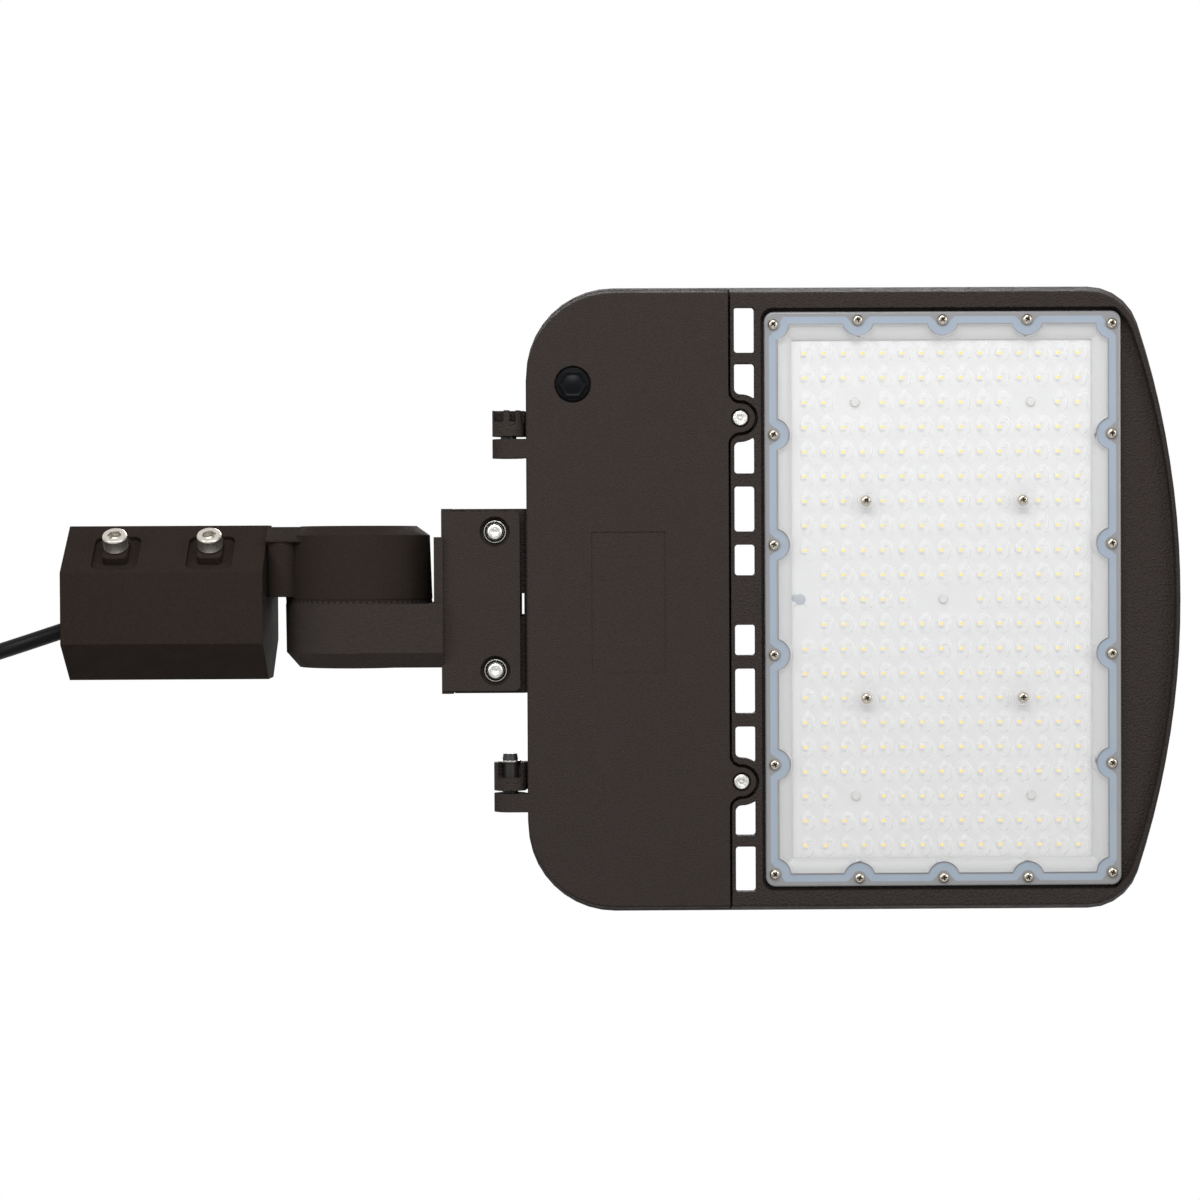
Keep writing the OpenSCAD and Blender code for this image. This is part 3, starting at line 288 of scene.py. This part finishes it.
class Shape:
    """A mesh under construction."""

    def __init__(self):
        self.bm = bmesh.new()

    def skin(self, loops, place=None, look=0, caps=(True, True)):
        """Joins loops of equal point counts into a wall and closes its ends.

        look is one material's index or a tuple with one for each band of the wall, whose
        last one also goes to the bands after it and to the ends.
        """
        place = place or Matrix()
        rows = [[self.bm.verts.new(place @ Vector(p)) for p in loop] for loop in loops]
        count = len(rows[0])
        faces = []
        for a, b in zip(rows, rows[1:]):
            for i in range(count):
                j = (i + 1) % count
                faces.append(self.bm.faces.new((a[i], a[j], b[j], b[i])))
        for row, wanted in zip((rows[0], rows[-1]), caps):
            if wanted:
                faces.append(self.bm.faces.new(row))
        looks = look if isinstance(look, tuple) else (look,)
        for k, face in enumerate(faces):
            face.material_index = looks[min(k // count, len(looks) - 1)]
        return rows

    def box(self, low, high, place, look=0, round_by=0.0):
        """A block whose upright edges may be rounded."""
        (x0, y0, z0), (x1, y1, z1) = low, high
        line = rounded(x0, y0, x1, y1, round_by)
        self.skin([[(x, y, z) for x, y in line] for z in (z0, z1)], place, look)

    def done(self, name, looks, body, slot, nodes=(), angle=32.0):
        """Makes the piece, with sharp edges from an angle in degrees on."""
        bmesh.ops.recalc_face_normals(self.bm, faces=self.bm.faces)
        mesh = bpy.data.meshes.new(name)
        self.bm.to_mesh(mesh)
        self.bm.free()
        mesh.transform(Matrix.Scale(MM, 4))
        for look in looks:
            mesh.materials.append(look)
        mesh.shade_smooth()
        mesh.set_sharp_from_angle(angle=math.radians(angle))
        return attach(bpy.data.objects.new(name, mesh), body, nodes)


def attach(obj, body, nodes=()):
    """Puts a piece into the scene, on its body and in place of its CAD nodes."""
    bpy.context.scene.collection.objects.link(obj)
    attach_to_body(obj, body)
    if nodes:
        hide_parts(*nodes)
    return obj


def circle(r, z, n=48):
    return [(r * math.cos(math.tau * i / n), r * math.sin(math.tau * i / n), z) for i in range(n)]


def turned(*profile, n=48):
    """The circles of a turned form, from pairs of radius and height."""
    return [circle(r, z, n) for r, z in profile]


def hexagon(across, z, n=48):
    """A hexagon with a distance across its flats."""
    line = []
    for i in range(n):
        a = math.tau * i / n
        r = across / 2 / math.cos((a + math.pi / 6) % (math.pi / 3) - math.pi / 6)
        line.append((r * math.cos(a), r * math.sin(a), z))
    return line


def cross(arm, width, z, n=48):
    """A cross, from the reach of its arms and half their width."""
    line = []
    for i in range(n):
        a = math.tau * (i + 0.5) / n
        c, s = abs(math.cos(a)), abs(math.sin(a))
        r = max(min(arm / c, width / s), min(arm / s, width / c))
        line.append((r * math.cos(a), r * math.sin(a), z))
    return line


def rounded(x0, y0, x1, y1, r):
    """A rectangle with round corners, as points in the plane."""
    if not r:
        return [(x0, y0), (x1, y0), (x1, y1), (x0, y1)]
    steps = 5
    corners = (
        (x1 - r, y0 + r, -90), (x1 - r, y1 - r, 0), (x0 + r, y1 - r, 90), (x0 + r, y0 + r, 180),
    )
    line = []
    for cx, cy, a0 in corners:
        for k in range(steps + 1):
            a = math.radians(a0 + 90 * k / steps)
            line.append((cx + r * math.cos(a), cy + r * math.sin(a)))
    return line


def face_down(at, turn=0.0):
    """A place in the head that faces down, at a point counted from the rear wall."""
    return Matrix.Translation(REAR + Vector(at)) @ FLIP @ Matrix.Rotation(turn, 4, "Z")


# ---------------------------------------------------------------- supply cord

CORD_D = 8.5
# from the strain relief out of the sleeve's mouth to the coil, as in part.scad
ROUTE = [
    (73.6, -18, 0), (68.6, -18, 0), (63.6, -18, 0), (50, -12, -2), (35, -5, -5),
    (20, 2, -8), (5, 8, -10), (-10, 13, -11), (-25, 18, -14), (-37, 22, -20),
    (-46, 25, -28), (-51, 26, -37), (-52, 26, -44), (-52, 26, -48), (-52, 26, -51.5),
]
COIL_TOP = Vector((-52, 26, -60))
COIL_R, COIL_PITCH, COIL_TURNS, COIL_STEPS = 47.0, 9.4, 2, 24
TAIL = 45.0  # the straight end of the jacket below the coil
STRAND_STEPS, STRAND_SIDES = 6, 5  # of a curve between two points, and round it

# the three leads: out from the cord's middle line, and below the jacket's end
LEAD_R = 1.5
LEAD_WAY = ((2.1, 0), (2.1, 6), (4.5, 20), (8, 38), (8.6, 47))
CORE = ((0.75, 0), (0.75, -8.2), (0.5, -8.8))  # bare copper: radius and height
CORE_LEAN = 0.05


def coil_point(k):
    a = math.tau * k / COIL_STEPS
    along = -COIL_PITCH * k / COIL_STEPS
    return COIL_TOP + Vector((along, COIL_R * (math.cos(a) - 1), -COIL_R * math.sin(a)))


def strand(name, points, radius, look, body, nodes=()):
    """A round strand along points, as one open smooth spline."""
    data = bpy.data.curves.new(name, "CURVE")
    data.dimensions = "3D"
    data.resolution_u = STRAND_STEPS
    data.bevel_depth = radius * MM
    data.bevel_resolution = STRAND_SIDES
    data.use_fill_caps = True
    line = data.splines.new("BEZIER")
    line.bezier_points.add(len(points) - 1)
    for knot, p in zip(line.bezier_points, points):
        knot.co = Vector(p) * MM
        knot.handle_left_type = knot.handle_right_type = "AUTO"
    data.materials.append(look)
    return attach(bpy.data.objects.new(name, data), body, nodes)


coil_end = coil_point(COIL_TURNS * COIL_STEPS)
cord_points = [Vector(p) for p in ROUTE]
cord_points += [coil_point(k) for k in range(COIL_TURNS * COIL_STEPS + 1)]
cord_points += [coil_end - Vector((0, 0, d)) for d in (15, 30, TAIL)]
jacket = strand(
    "cord_jacket", cord_points, CORD_D / 2, rubber,
    "fitter", ("supply_cord", "cord_coil"),
)

LEADS = (("black_lead", plastic), ("white_lead", white_plastic), ("green_lead", green_plastic))
for k, (name, look) in enumerate(LEADS):
    a = math.radians(120 * k + 30)
    way = Vector((math.cos(a), math.sin(a), 0))
    points = [coil_end + r * way - Vector((0, 0, TAIL + d)) for r, d in LEAD_WAY]
    strand(name, points, LEAD_R, look, "fitter", ("lead_ends",))
    out, below = LEAD_WAY[-1]
    core_at = coil_end + out * way - Vector((0, 0, TAIL + below - 1))  # 1 mm inside the lead
    lean = Matrix.Identity(4)
    lean[0][2], lean[1][2] = -CORE_LEAN * way.x, -CORE_LEAN * way.y
    tip = Shape()
    tip.skin(turned(*CORE, n=16), Matrix.Translation(core_at) @ lean)
    tip.done(name + "_core", [copper], "fitter", "lead_insulation")

# the head of the tie round the coil, and the tie's loose end
tie_place = Matrix.Translation(coil_point(3 * COIL_STEPS // 4) - Vector((COIL_PITCH / 2, 0, 0)))
tie = Shape()
tie.box((-3.4, -3, 5.3), (3.4, 3, 9.6), tie_place, round_by=1.0)
tie.box((-2, -1.3, 9.4), (2, 1.3, 13), tie_place, round_by=0.6)
tie_head = tie.done("cord_tie_head", [plastic], "fitter", "black_plastic")

# ---------------------------------------------------------------- lens plate with its optics

# the plate: its near edge from the rear wall, its length, width and corner radius
LENS_X, LENS_L, LENS_W, LENS_R = 125.0, 187.5, 302.0, 5.2
TOP, RIM_Z, FIELD_Z = -30.0, -33.5, -34.3  # heights of its back, its rim and its field

# the grid of lens elements, between the margins left over from the plate's length and width
COLS, ROWS = 15, 21
MARGIN_X, MARGIN_Y, GRID_SHIFT = 33.0, 29.6, 0.7
PITCH_X, PITCH_Y = (LENS_L - MARGIN_X) / COLS, (LENS_W - MARGIN_Y) / ROWS
GRID_X = LENS_X + LENS_L / 2 + GRID_SHIFT

# the screws round the plate: three along each end, and six down each side with the corners
SCREW_X, END_Y, CORNER_Y = 4.75, 4.4, 6.6  # in from the plate's edges
STEP_X, STEP_Y = (LENS_L - 2 * SCREW_X) / 4, (LENS_W - 2 * CORNER_Y) / 5
RIM_SCREWS = [
    (LENS_X + SCREW_X + i * STEP_X, s * (LENS_W / 2 - END_Y)) for s in (-1, 1) for i in (1, 2, 3)
]
RIM_SCREWS += [
    (LENS_X + SCREW_X + i * STEP_X, (j - 2.5) * STEP_Y) for i in (0, 4) for j in range(6)
]


def cell_at(c, r):
    """The middle of a grid place, whose column and row are counted from the middle one."""
    return (GRID_X + c * PITCH_X, r * PITCH_Y)


def has_led(c, r):
    """Whether a grid place has a chip, and not a screw or the wire outlet."""
    c, r, left = abs(c), abs(r), c < 0
    board_screw = (r == 8 and c in (4, 5)) or (r == 0 and c <= 1)
    inner_screw = r == 4 and c == 4
    outlet = left and c == 7 and r <= 1
    return not (board_screw or inner_screw or outlet)


CELLS = [
    (c, r)
    for c in range(-(COLS // 2), COLS // 2 + 1)
    for r in range(-(ROWS // 2), ROWS // 2 + 1)
]
LEDS = [cell_at(c, r) for c, r in CELLS if has_led(c, r)]
INNER_SCREWS = [cell_at(c, r) for c in (-4, 4) for r in (-4, 4)]

EDGE_PITCH, CORNER_STEPS = 0.75, 12  # how densely the plate's outline is divided


def plate_line(inset, push=0.0):
    """The plate's outline drawn in, and pushed out of a circle round each screw.

    Every call gives as many points, so that any two lines can be joined.
    """
    x0, x1, y1 = LENS_X + inset, LENS_X + LENS_L - inset, LENS_W / 2 - inset
    r = max(LENS_R - inset, 1.0)
    corners = (
        (x1 - r, r - y1, -90), (x1 - r, y1 - r, 0), (x0 + r, y1 - r, 90), (x0 + r, r - y1, 180),
    )
    counts = (round(LENS_W / EDGE_PITCH), round(LENS_L / EDGE_PITCH))

    def on_corner(k, turn):
        cx, cy, a0 = corners[k % 4]
        a = math.radians(a0 + turn)
        return Vector((cx + r * math.cos(a), cy + r * math.sin(a)))

    line = []
    for k in range(4):
        line += [on_corner(k, 90 * i / CORNER_STEPS) for i in range(CORNER_STEPS + 1)]
        start, goal, n = line[-1], on_corner(k + 1, 0), counts[k % 2]
        line += [start.lerp(goal, i / n) for i in range(1, n)]
    if push:
        for screw in RIM_SCREWS:
            at = Vector(screw)
            for i, p in enumerate(line):
                if (p - at).length < push:
                    q = at + (p - at).normalized() * push
                    line[i] = Vector((min(max(q.x, x0), x1), min(max(q.y, -y1), y1)))
    return line


LOOP_REACH = 6.3  # how far from a screw its loop starts
LOOP_FLARE = 0.16  # the share of a loop that leads in, and out


def looped_line(inset, near):
    """The outline drawn in, and turned round the inner side of each screw at a radius."""
    line = plate_line(inset)
    count = len(line)
    for screw in RIM_SCREWS:
        at = Vector(screw)
        close = [i for i in range(count) if (line[i] - at).length < LOOP_REACH]
        first = next(i for i in close if (i - 1) % count not in close)
        run = [(first + k) % count for k in range(len(close))]
        a, b = line[(first - 1) % count] - at, line[(run[-1] + 1) % count] - at
        start, stop = math.atan2(a.y, a.x), math.atan2(b.y, b.x)
        sweep = (stop - start) % math.tau - math.tau
        for k, i in enumerate(run):
            t = (k + 1) / (len(run) + 1)
            flare = max(0.0, 1 - min(t, 1 - t) / LOOP_FLARE) ** 2
            r = near + (a.length - near) * flare
            turn = start + sweep * t
            line[i] = at + r * Vector((math.cos(turn), math.sin(turn)))
    return line


def at_height(line, z):
    return [(REAR.x + p[0], REAR.y + p[1], z) for p in line]


def rings(*profile):
    """Outlines of the plate, each from its inset, its radius round a screw and its height."""
    return [at_height(plate_line(inset, push), z) for inset, push, z in profile]


RIM, BAND, FIELD, BACK, MARGIN = range(5)
LENS_LOOKS = [lens_rim, lens_band, lens_field, lens_back, lens_margin]
INSIDE = (6.2, 7.9)  # the band's inner line: inset and radius round a screw
band_outside = at_height(looped_line(2.6, 3.7), RIM_Z)
lens = Shape()
lens.skin(rings((*INSIDE, TOP - 1.4), (*INSIDE, TOP)), None, BACK, (True, False))
# a closed frosted ring behind the field's margin, which hides the recess's floor there
lens.skin(
    rings(
        (6.5, 8.1, -31.3), (11.5, 8.8, -31.3), (14.4, 10.3, -28.7), (14.1, 10.1, -28.5),
        (11.3, 8.7, -31.0), (6.5, 8.1, -31.0), (6.5, 8.1, -31.3),
    ),
    None, MARGIN, OPEN,
)
# the back, the outer edge and the rim
lens.skin(
    rings(
        (*INSIDE, TOP), (0, 0, TOP), (0, 0, RIM_Z + 0.5), (0.5, 0, RIM_Z), (1.2, 0, RIM_Z),
    )
    + [band_outside],
    None, RIM, OPEN,
)
# the band over the gasket
lens.skin([band_outside, *rings((*INSIDE, RIM_Z))], None, BAND, OPEN)
# the step up to the field, with its ribs
lens.skin(
    rings(
        (*INSIDE, RIM_Z), (6.9, 8.4, RIM_Z - 0.1), (7.1, 8.6, FIELD_Z - 0.1),
        (7.5, 8.9, FIELD_Z - 0.2), (7.9, 9.2, FIELD_Z), (8.6, 9.6, FIELD_Z + 0.1),
        (8.9, 9.7, FIELD_Z - 0.15), (9.2, 9.9, FIELD_Z - 0.15), (9.5, 10.05, FIELD_Z),
        (9.8, 10.2, FIELD_Z),
    ),
    None, (RIM, RIM, FIELD), OPEN,
)

# one lens element: its half axes, and its rings by share of these and height over the field
OPTIC_A, OPTIC_B, OPTIC_H = 3.8, 6.0, 1.6
DOME = (
    (1.0, 0.0), (0.95, 0.14), (0.87, 0.50), (0.75, 0.88), (0.58, 1.22), (0.37, 1.47),
    (0.15, OPTIC_H),
)
SIDE_X, SIDE_Y = 6, 8  # points along the sides of its cell


def cell_edge(x, y):
    a, b = PITCH_X / 2, PITCH_Y / 2
    corners = ((a, -b), (a, b), (-a, b), (-a, -b))
    line = []
    for k, n in enumerate((SIDE_Y, SIDE_X, SIDE_Y, SIDE_X)):
        p, q = corners[k], corners[(k + 1) % 4]
        line += [
            (x + p[0] + (q[0] - p[0]) * i / n, y + p[1] + (q[1] - p[1]) * i / n) for i in range(n)
        ]
    return line


def oval(x, y, share):
    """An oval with its points in the directions of those on the cell's edge."""
    line = []
    for px, py in cell_edge(0, 0):
        a = math.atan2(py / OPTIC_B, px / OPTIC_A)
        line.append((x + share * OPTIC_A * math.cos(a), y + share * OPTIC_B * math.sin(a)))
    return line


cell_rows = []
for c, r in CELLS:
    x, y = cell_at(c, r)
    loops = [at_height(cell_edge(x, y), FIELD_Z)]
    if has_led(c, r):
        loops += [at_height(oval(x, y, share), FIELD_Z - h) for share, h in DOME]
    cell_rows.append(lens.skin(loops, None, FIELD, (False, True))[0])
# neighbouring cells are joined, and the margin between them and the ribs is filled
bmesh.ops.remove_doubles(lens.bm, verts=[v for row in cell_rows for v in row], dist=0.001)
rim_edges = [
    e for e in lens.bm.edges
    if e.is_boundary and all(abs(v.co.z - FIELD_Z) < 1e-6 for v in e.verts)
]
margin = bmesh.ops.triangle_fill(lens.bm, edges=rim_edges, use_beauty=True, normal=(0, 0, -1))
for face in margin["geom"]:
    if isinstance(face, bmesh.types.BMFace):
        face.material_index = FIELD
bmesh.ops.remove_doubles(lens.bm, verts=lens.bm.verts, dist=0.0005)
lens.done("lens_optics", LENS_LOOKS, "head", "clear_lens", ("lens_plate",), 50)

# ---------------------------------------------------------------- emitters on the board

BOARD_BACK, BOARD_T, CHIP_T = -26.0, 1.6, 0.7
CHIP_FACE = BOARD_BACK - BOARD_T - CHIP_T
EMITTER_X, EMITTER_Y = 0.9, 0.6  # half of its sides
EMITTER_DX, EMITTER_DY = -0.7, 0.15  # from the middle of the lens element
PADS = ((1.9, -2.0, 1.1), (-0.2, 2.2, 1.0))  # place beside the emitter, and half length
PAD_Y, PAD_Z = 0.2, (-27.66, -27.5)  # half width, and heights of face and back

in_head = Matrix.Translation(REAR)
lights, pads = Shape(), Shape()
for x, y in LEDS:
    cx, cy = x + EMITTER_DX, y + EMITTER_DY
    lights.box(
        (cx - EMITTER_X, cy - EMITTER_Y, CHIP_FACE - 0.12),
        (cx + EMITTER_X, cy + EMITTER_Y, CHIP_FACE + 0.1),
        in_head, round_by=0.4,
    )
    for dx, dy, half in PADS:
        pads.box(
            (cx + dx - half, cy + dy - PAD_Y, PAD_Z[0]),
            (cx + dx + half, cy + dy + PAD_Y, PAD_Z[1]),
            in_head,
        )
lights.done("led_emitters", [painted_glow_phosphor], "head", "white_board")
pads.done("board_pads", [pad_grey], "head", "white_board")

# sealant over the wires' entry into the board, between two solder joints
SEAL_Z = -27.5
dab = Shape()
for x, y, r in ((144.0, 0.0, 3.0), (141.2, -0.9, 2.0)):
    dab.skin(
        turned((r, 0), (0.93 * r, 0.3), (0.7 * r, 0.5), (0.2 * r, 0.6), n=24),
        face_down((x, y, SEAL_Z)),
    )
for x, y, turn in ((141.6, 3.2, 0.5), (146.4, 2.8, -0.7)):
    dab.box((-1.3, -0.3, -0.2), (1.3, 0.3, 0.3), face_down((x, y, SEAL_Z), turn), 1, 0.25)
dab.done("lead_sealant", [sealant, pad_grey], "head", "grey_seal")

# ---------------------------------------------------------------- screws


def shank(shape, place, radius, top, length, point, chamfer, n=24):
    """A plain shank from inside the head down to its chamfered point."""
    profile = ((radius, top), (radius, chamfer - length), (point, -length))
    shape.skin(turned(*profile, n=n), place)


# the lens plate's small screws: a pan head with a cross, with painted shade on its foot and in
# the cross
PAN_HEAD = turned(
    (2.8, 0), (2.78, 0.45), (2.6, 1.15), (2.2, 1.65), (1.75, 1.9), (1.5, 1.97),
) + [
    cross(1.42, 0.42, 1.93), cross(1.3, 0.36, 1.5), cross(0.85, 0.3, 0.95), cross(0.4, 0.25, 0.7),
]
# the bands in the dark look are painted shade: the head's foot, and the cross's recess and floor
PAN_LOOKS = (1, 0, 0, 0, 0, 0, 1)
RIM_SCREW_L, INNER_SCREW_L = 9.5, 12.0


def pan_screw(shape, at, turn, length):
    place = face_down(at, turn)
    shape.skin(PAN_HEAD, place, PAN_LOOKS)
    shank(shape, place, 1.42, 0.3, length, point=0.9, chamfer=0.6)


# each is turned on from the one before it, so that they look unordered
small = Shape()
for k, (x, y) in enumerate(RIM_SCREWS):
    pan_screw(small, (x, y, RIM_Z), 0.35 + 1.9 * k, RIM_SCREW_L)
for k, (x, y) in enumerate(INNER_SCREWS):
    pan_screw(small, (x, y, FIELD_Z), 0.8 + 1.3 * k, INNER_SCREW_L)
small.done("lens_pan_screws", [warm_steel, black_steel_and_shade], "head", "stainless", ("lens_screws",))

# raised rings of the plate round the inner ones
seats = Shape()
for x, y in INNER_SCREWS:
    seats.skin(
        turned((4.6, 0), (4.4, 0.35), (3.9, 0.45), (3.7, 0.3), (3.6, 0.02), (2.9, 0.02)),
        face_down((x, y, FIELD_Z)),
    )
seats.done("lens_screw_seats", [lens_field], "head", "clear_lens")

# socket heads of the four clamp bolts, with Z along the bolt and out of the sleeve
CLAMP_X = (27.4, 76.9)  # along the sleeve from its mouth
CLAMP_LEAN = math.radians(38)
CLAMP_SEAT = 39.9 + 2.6  # from the sleeve's axis
KNURLS = 40
KNURL_N = 2 * KNURLS
KNURL_R, KNURL_DEEP = 6.45, 0.28
THREAD_R, ROOT_R, THREAD_PITCH, THREAD_TURNS = 3.98, 3.55, 1.2, 8


def knurl(r, z, deep):
    """A circle of ridges, with every second point set in."""
    line = []
    for i in range(KNURL_N):
        a, reach = math.tau * i / KNURL_N, r - deep * (i % 2)
        line.append((reach * math.cos(a), reach * math.sin(a), z))
    return line


CLAMP_HEAD = (
    turned((5.9, 0), n=KNURL_N)
    + [
        knurl(KNURL_R, z, deep)
        for z, deep in ((0.5, 0.0), (0.9, KNURL_DEEP), (6.6, KNURL_DEEP), (7.0, 0.0))
    ]
    + turned((6.2, 7.6), (5.7, 8.0), (4.1, 8.0), n=KNURL_N)
    + [hexagon(across, z, KNURL_N) for across, z in ((6.7, 7.9), (6.3, 7.4), (6.3, 3.9))]
    + turned((2.6, 3.6), (0.6, 2.9), n=KNURL_N)
)
clamp_thread = [(4.0, 0.4)]
for k in range(THREAD_TURNS):
    z = -0.6 - k * THREAD_PITCH
    clamp_thread += [(THREAD_R, z), (ROOT_R, z - 0.5)]
clamp_thread += [(3.9, -10.6), (3.2, -10.9)]

clamps = Shape()
for x in CLAMP_X:
    for s in (-1, 1):
        outwards = Matrix.Rotation(math.pi / 2 - s * CLAMP_LEAN, 4, "X")
        place = (
            Matrix.Translation((x, 0, 0)) @ outwards @ Matrix.Translation((0, 0, CLAMP_SEAT))
        )
        clamps.skin(CLAMP_HEAD, place @ Matrix.Rotation(0.4 + x, 4, "Z"))
        clamps.skin(turned(*clamp_thread, n=32), place)
clamps.done("clamp_socket_screws", [knurled_steel], "fitter", "stainless", ("clamp_bolts",))

# round-headed screws of the bracket, in its lower and its upper plate, with their washers
BRACKET_X, BRACKET_Y = 226.8, 36.5
SINK_Z, WASHER_T = 28.0, 1.2
ROUND_HEAD = (
    turned((4.5, 0), (4.5, 0.9), (4.45, 1.9), (4.2, 2.7), (3.7, 3.3), (3.2, 3.5), (2.1, 3.5))
    + [hexagon(across, z) for across, z in ((3.5, 3.4), (3.1, 3.0), (3.1, 1.9))]
    + turned((0.5, 1.5))
)
CUP_FLOOR = turned((5.5, 0), (2.56, 0), (2.56, 0.6), (5.3, 0.6))
CUP_EDGE = turned(
    (5.3, 0.6), (5.35, 1.05), (5.6, 1.2), (5.85, 1.15), (6.05, 0.9), (6.1, 0.3), (6.0, 0),
    (5.5, 0),
)


def bracket_places(height):
    """The four places at a height out from the middle plane, each with its y."""
    for mirror in (Matrix(), Matrix.Scale(-1, 4, (0, 0, 1))):
        for y in (-BRACKET_Y, BRACKET_Y):
            at = Matrix.Translation((BRACKET_X, REAR.y + y, -height))
            yield y, mirror @ at @ FLIP


bracket = Shape()
for y, place in bracket_places(SINK_Z + WASHER_T):
    bracket.skin(ROUND_HEAD, place @ Matrix.Rotation(0.3 + y, 4, "Z"))
    shank(bracket, place, 2.45, 0.2, 15.1, point=1.8, chamfer=0.5)
bracket.done("bracket_round_screws", [bright_steel], "head", "stainless", ("bracket_screws",))

# their cup washers: a bright turned edge round a floor painted black, as painted shade under the
# screw head
cups = Shape()
for _, place in bracket_places(SINK_Z):
    cups.skin(CUP_FLOOR, place, 1, OPEN)
    cups.skin(CUP_EDGE, place, 0, OPEN)
cups.done(
    "bracket_cup_washers", [bright_steel, painted_shade_black], "head", "stainless", ("bracket_washers",)
)

# captive screws of the door, with a pin in the socket
EAR_X, EAR_Y, EAR_SINK = 112.3, 95.4, 2.4  # their places, and how deep their ears lie
CAPTIVE_HEAD = (
    turned(
        (4.0, 0), (4.0, 1.4), (3.85, 1.9), (3.4, 2.2), (2.95, 2.2), (2.75, 1.95), (2.6, 2.12),
        (2.1, 2.15),
    )
    + [hexagon(across, z) for across, z in ((3.4, 2.0), (3.1, 1.6), (3.1, 0.7))]
    + turned((0.75, 0.7), (0.7, 1.7), (0.45, 1.9))
)
captive = Shape()
for s in (-1, 1):
    place = face_down((EAR_X, s * EAR_Y, FACE + EAR_SINK), 0.4 * s)
    captive.skin(CAPTIVE_HEAD, place)
    shank(captive, place, 2.45, 0.2, 14.0, point=1.7, chamfer=0.6)
captive.done("door_captive_screws", [bright_steel], "door", "stainless", ("door_screws",))

# sealing plug in the door: a chamfered hexagon over a flange
PORT_X, PORT_Y, PORT_SINK = 24.6, -113.4, 2.0
plug = Shape()
plug.skin(
    turned((5.9, -6), (5.9, 0.02), (8.9, 0.05), (8.9, 0.5), (8.6, 0.75), (7.9, 0.8))
    + [
        hexagon(across, z)
        for across, z in (
            (13.2, 0.85), (13.2, 2.5), (12.8, 2.9), (11.7, 2.9), (11.3, 2.5), (10.9, 2.4),
        )
    ]
    + turned((4.5, 2.4), (4.3, 2.5)),
    face_down((PORT_X, PORT_Y, FACE + PORT_SINK), math.radians(30)),
)
plug.done("port_hex_plug", [plastic], "door", "black_plastic", ("port_plug",))

# ---------------------------------------------------------------- studio

WHITE = (1, 1, 1, 1)
CENTRE = (0.28, 0, 0)
LAMPS = (  # name, place, size, watts
    ("below_top", (0.25, -0.95, -1.15), 0.9, 15),
    ("below_left", (-0.9, -0.5, -1.2), 0.9, 7),
    ("below_right", (1.5, -0.4, -1.2), 0.9, 7),
    ("below_front", (0.3, 1.3, -1.3), 0.9, 2),
    ("above", (0.4, -0.9, 1.9), 1.4, 34),
)
FLOOR_Z, FLOOR_HALF = -2.1, 9
FLOOR_GLOW = 0.4  # for the camera alone, so that the floor renders white
WORLD_LIGHT = 0.4

for name, at, size, watts in LAMPS:
    light = bpy.data.lights.new(name, "AREA")
    light.shape = "DISK"
    light.size = size
    light.energy = watts
    lamp = bpy.data.objects.new(name, light)
    lamp.location = at
    lamp.rotation_euler = (Vector(CENTRE) - Vector(at)).to_track_quat("-Z", "Y").to_euler()
    bpy.context.scene.collection.objects.link(lamp)


def combined(tree, operation, a, b):
    """The output of a maths node over an output and an output or a number."""
    node = tree.nodes.new("ShaderNodeMath")
    node.operation = operation
    tree.links.new(a, node.inputs[0])
    if isinstance(b, float):
        node.inputs[1].default_value = b
    else:
        tree.links.new(b, node.inputs[1])
    return node.outputs[0]


floor_bm = bmesh.new()
bmesh.ops.create_grid(floor_bm, x_segments=1, y_segments=1, size=FLOOR_HALF)
floor_mesh = bpy.data.meshes.new("floor")
floor_bm.to_mesh(floor_mesh)
floor_bm.free()
floor = bpy.data.objects.new("floor", floor_mesh)
floor.location = (CENTRE[0], CENTRE[1], FLOOR_Z)
pale = material("pale_floor", (0.82, 0.82, 0.81), 0.9, Emission_Color=WHITE)
tree = pale.node_tree
path = tree.nodes.new("ShaderNodeLightPath")
glow = combined(tree, "MULTIPLY", path.outputs["Is Camera Ray"], FLOOR_GLOW)
tree.links.new(glow, tree.nodes["Principled BSDF"].inputs["Emission Strength"])
floor_mesh.materials.append(pale)
bpy.context.scene.collection.objects.link(floor)

# soft light from all round, and white for what the camera sees, also in metal and plastic
world = bpy.data.worlds.new("studio")
bpy.context.scene.world = world
world.use_nodes = True
tree = world.node_tree
soft = tree.nodes["Background"]
soft.inputs["Color"].default_value = WHITE
soft.inputs["Strength"].default_value = WORLD_LIGHT
white = tree.nodes.new("ShaderNodeBackground")
white.inputs["Color"].default_value = WHITE
path = tree.nodes.new("ShaderNodeLightPath")
seen = combined(tree, "MAXIMUM", path.outputs["Is Camera Ray"], path.outputs["Is Glossy Ray"])
seen = combined(tree, "MAXIMUM", seen, path.outputs["Is Transmission Ray"])
either = tree.nodes.new("ShaderNodeMixShader")
tree.links.new(seen, either.inputs["Fac"])
tree.links.new(soft.outputs[0], either.inputs[1])
tree.links.new(white.outputs[0], either.inputs[2])
tree.links.new(either.outputs[0], tree.nodes["World Output"].inputs["Surface"])

bpy.context.scene.view_settings.view_transform = "Standard"
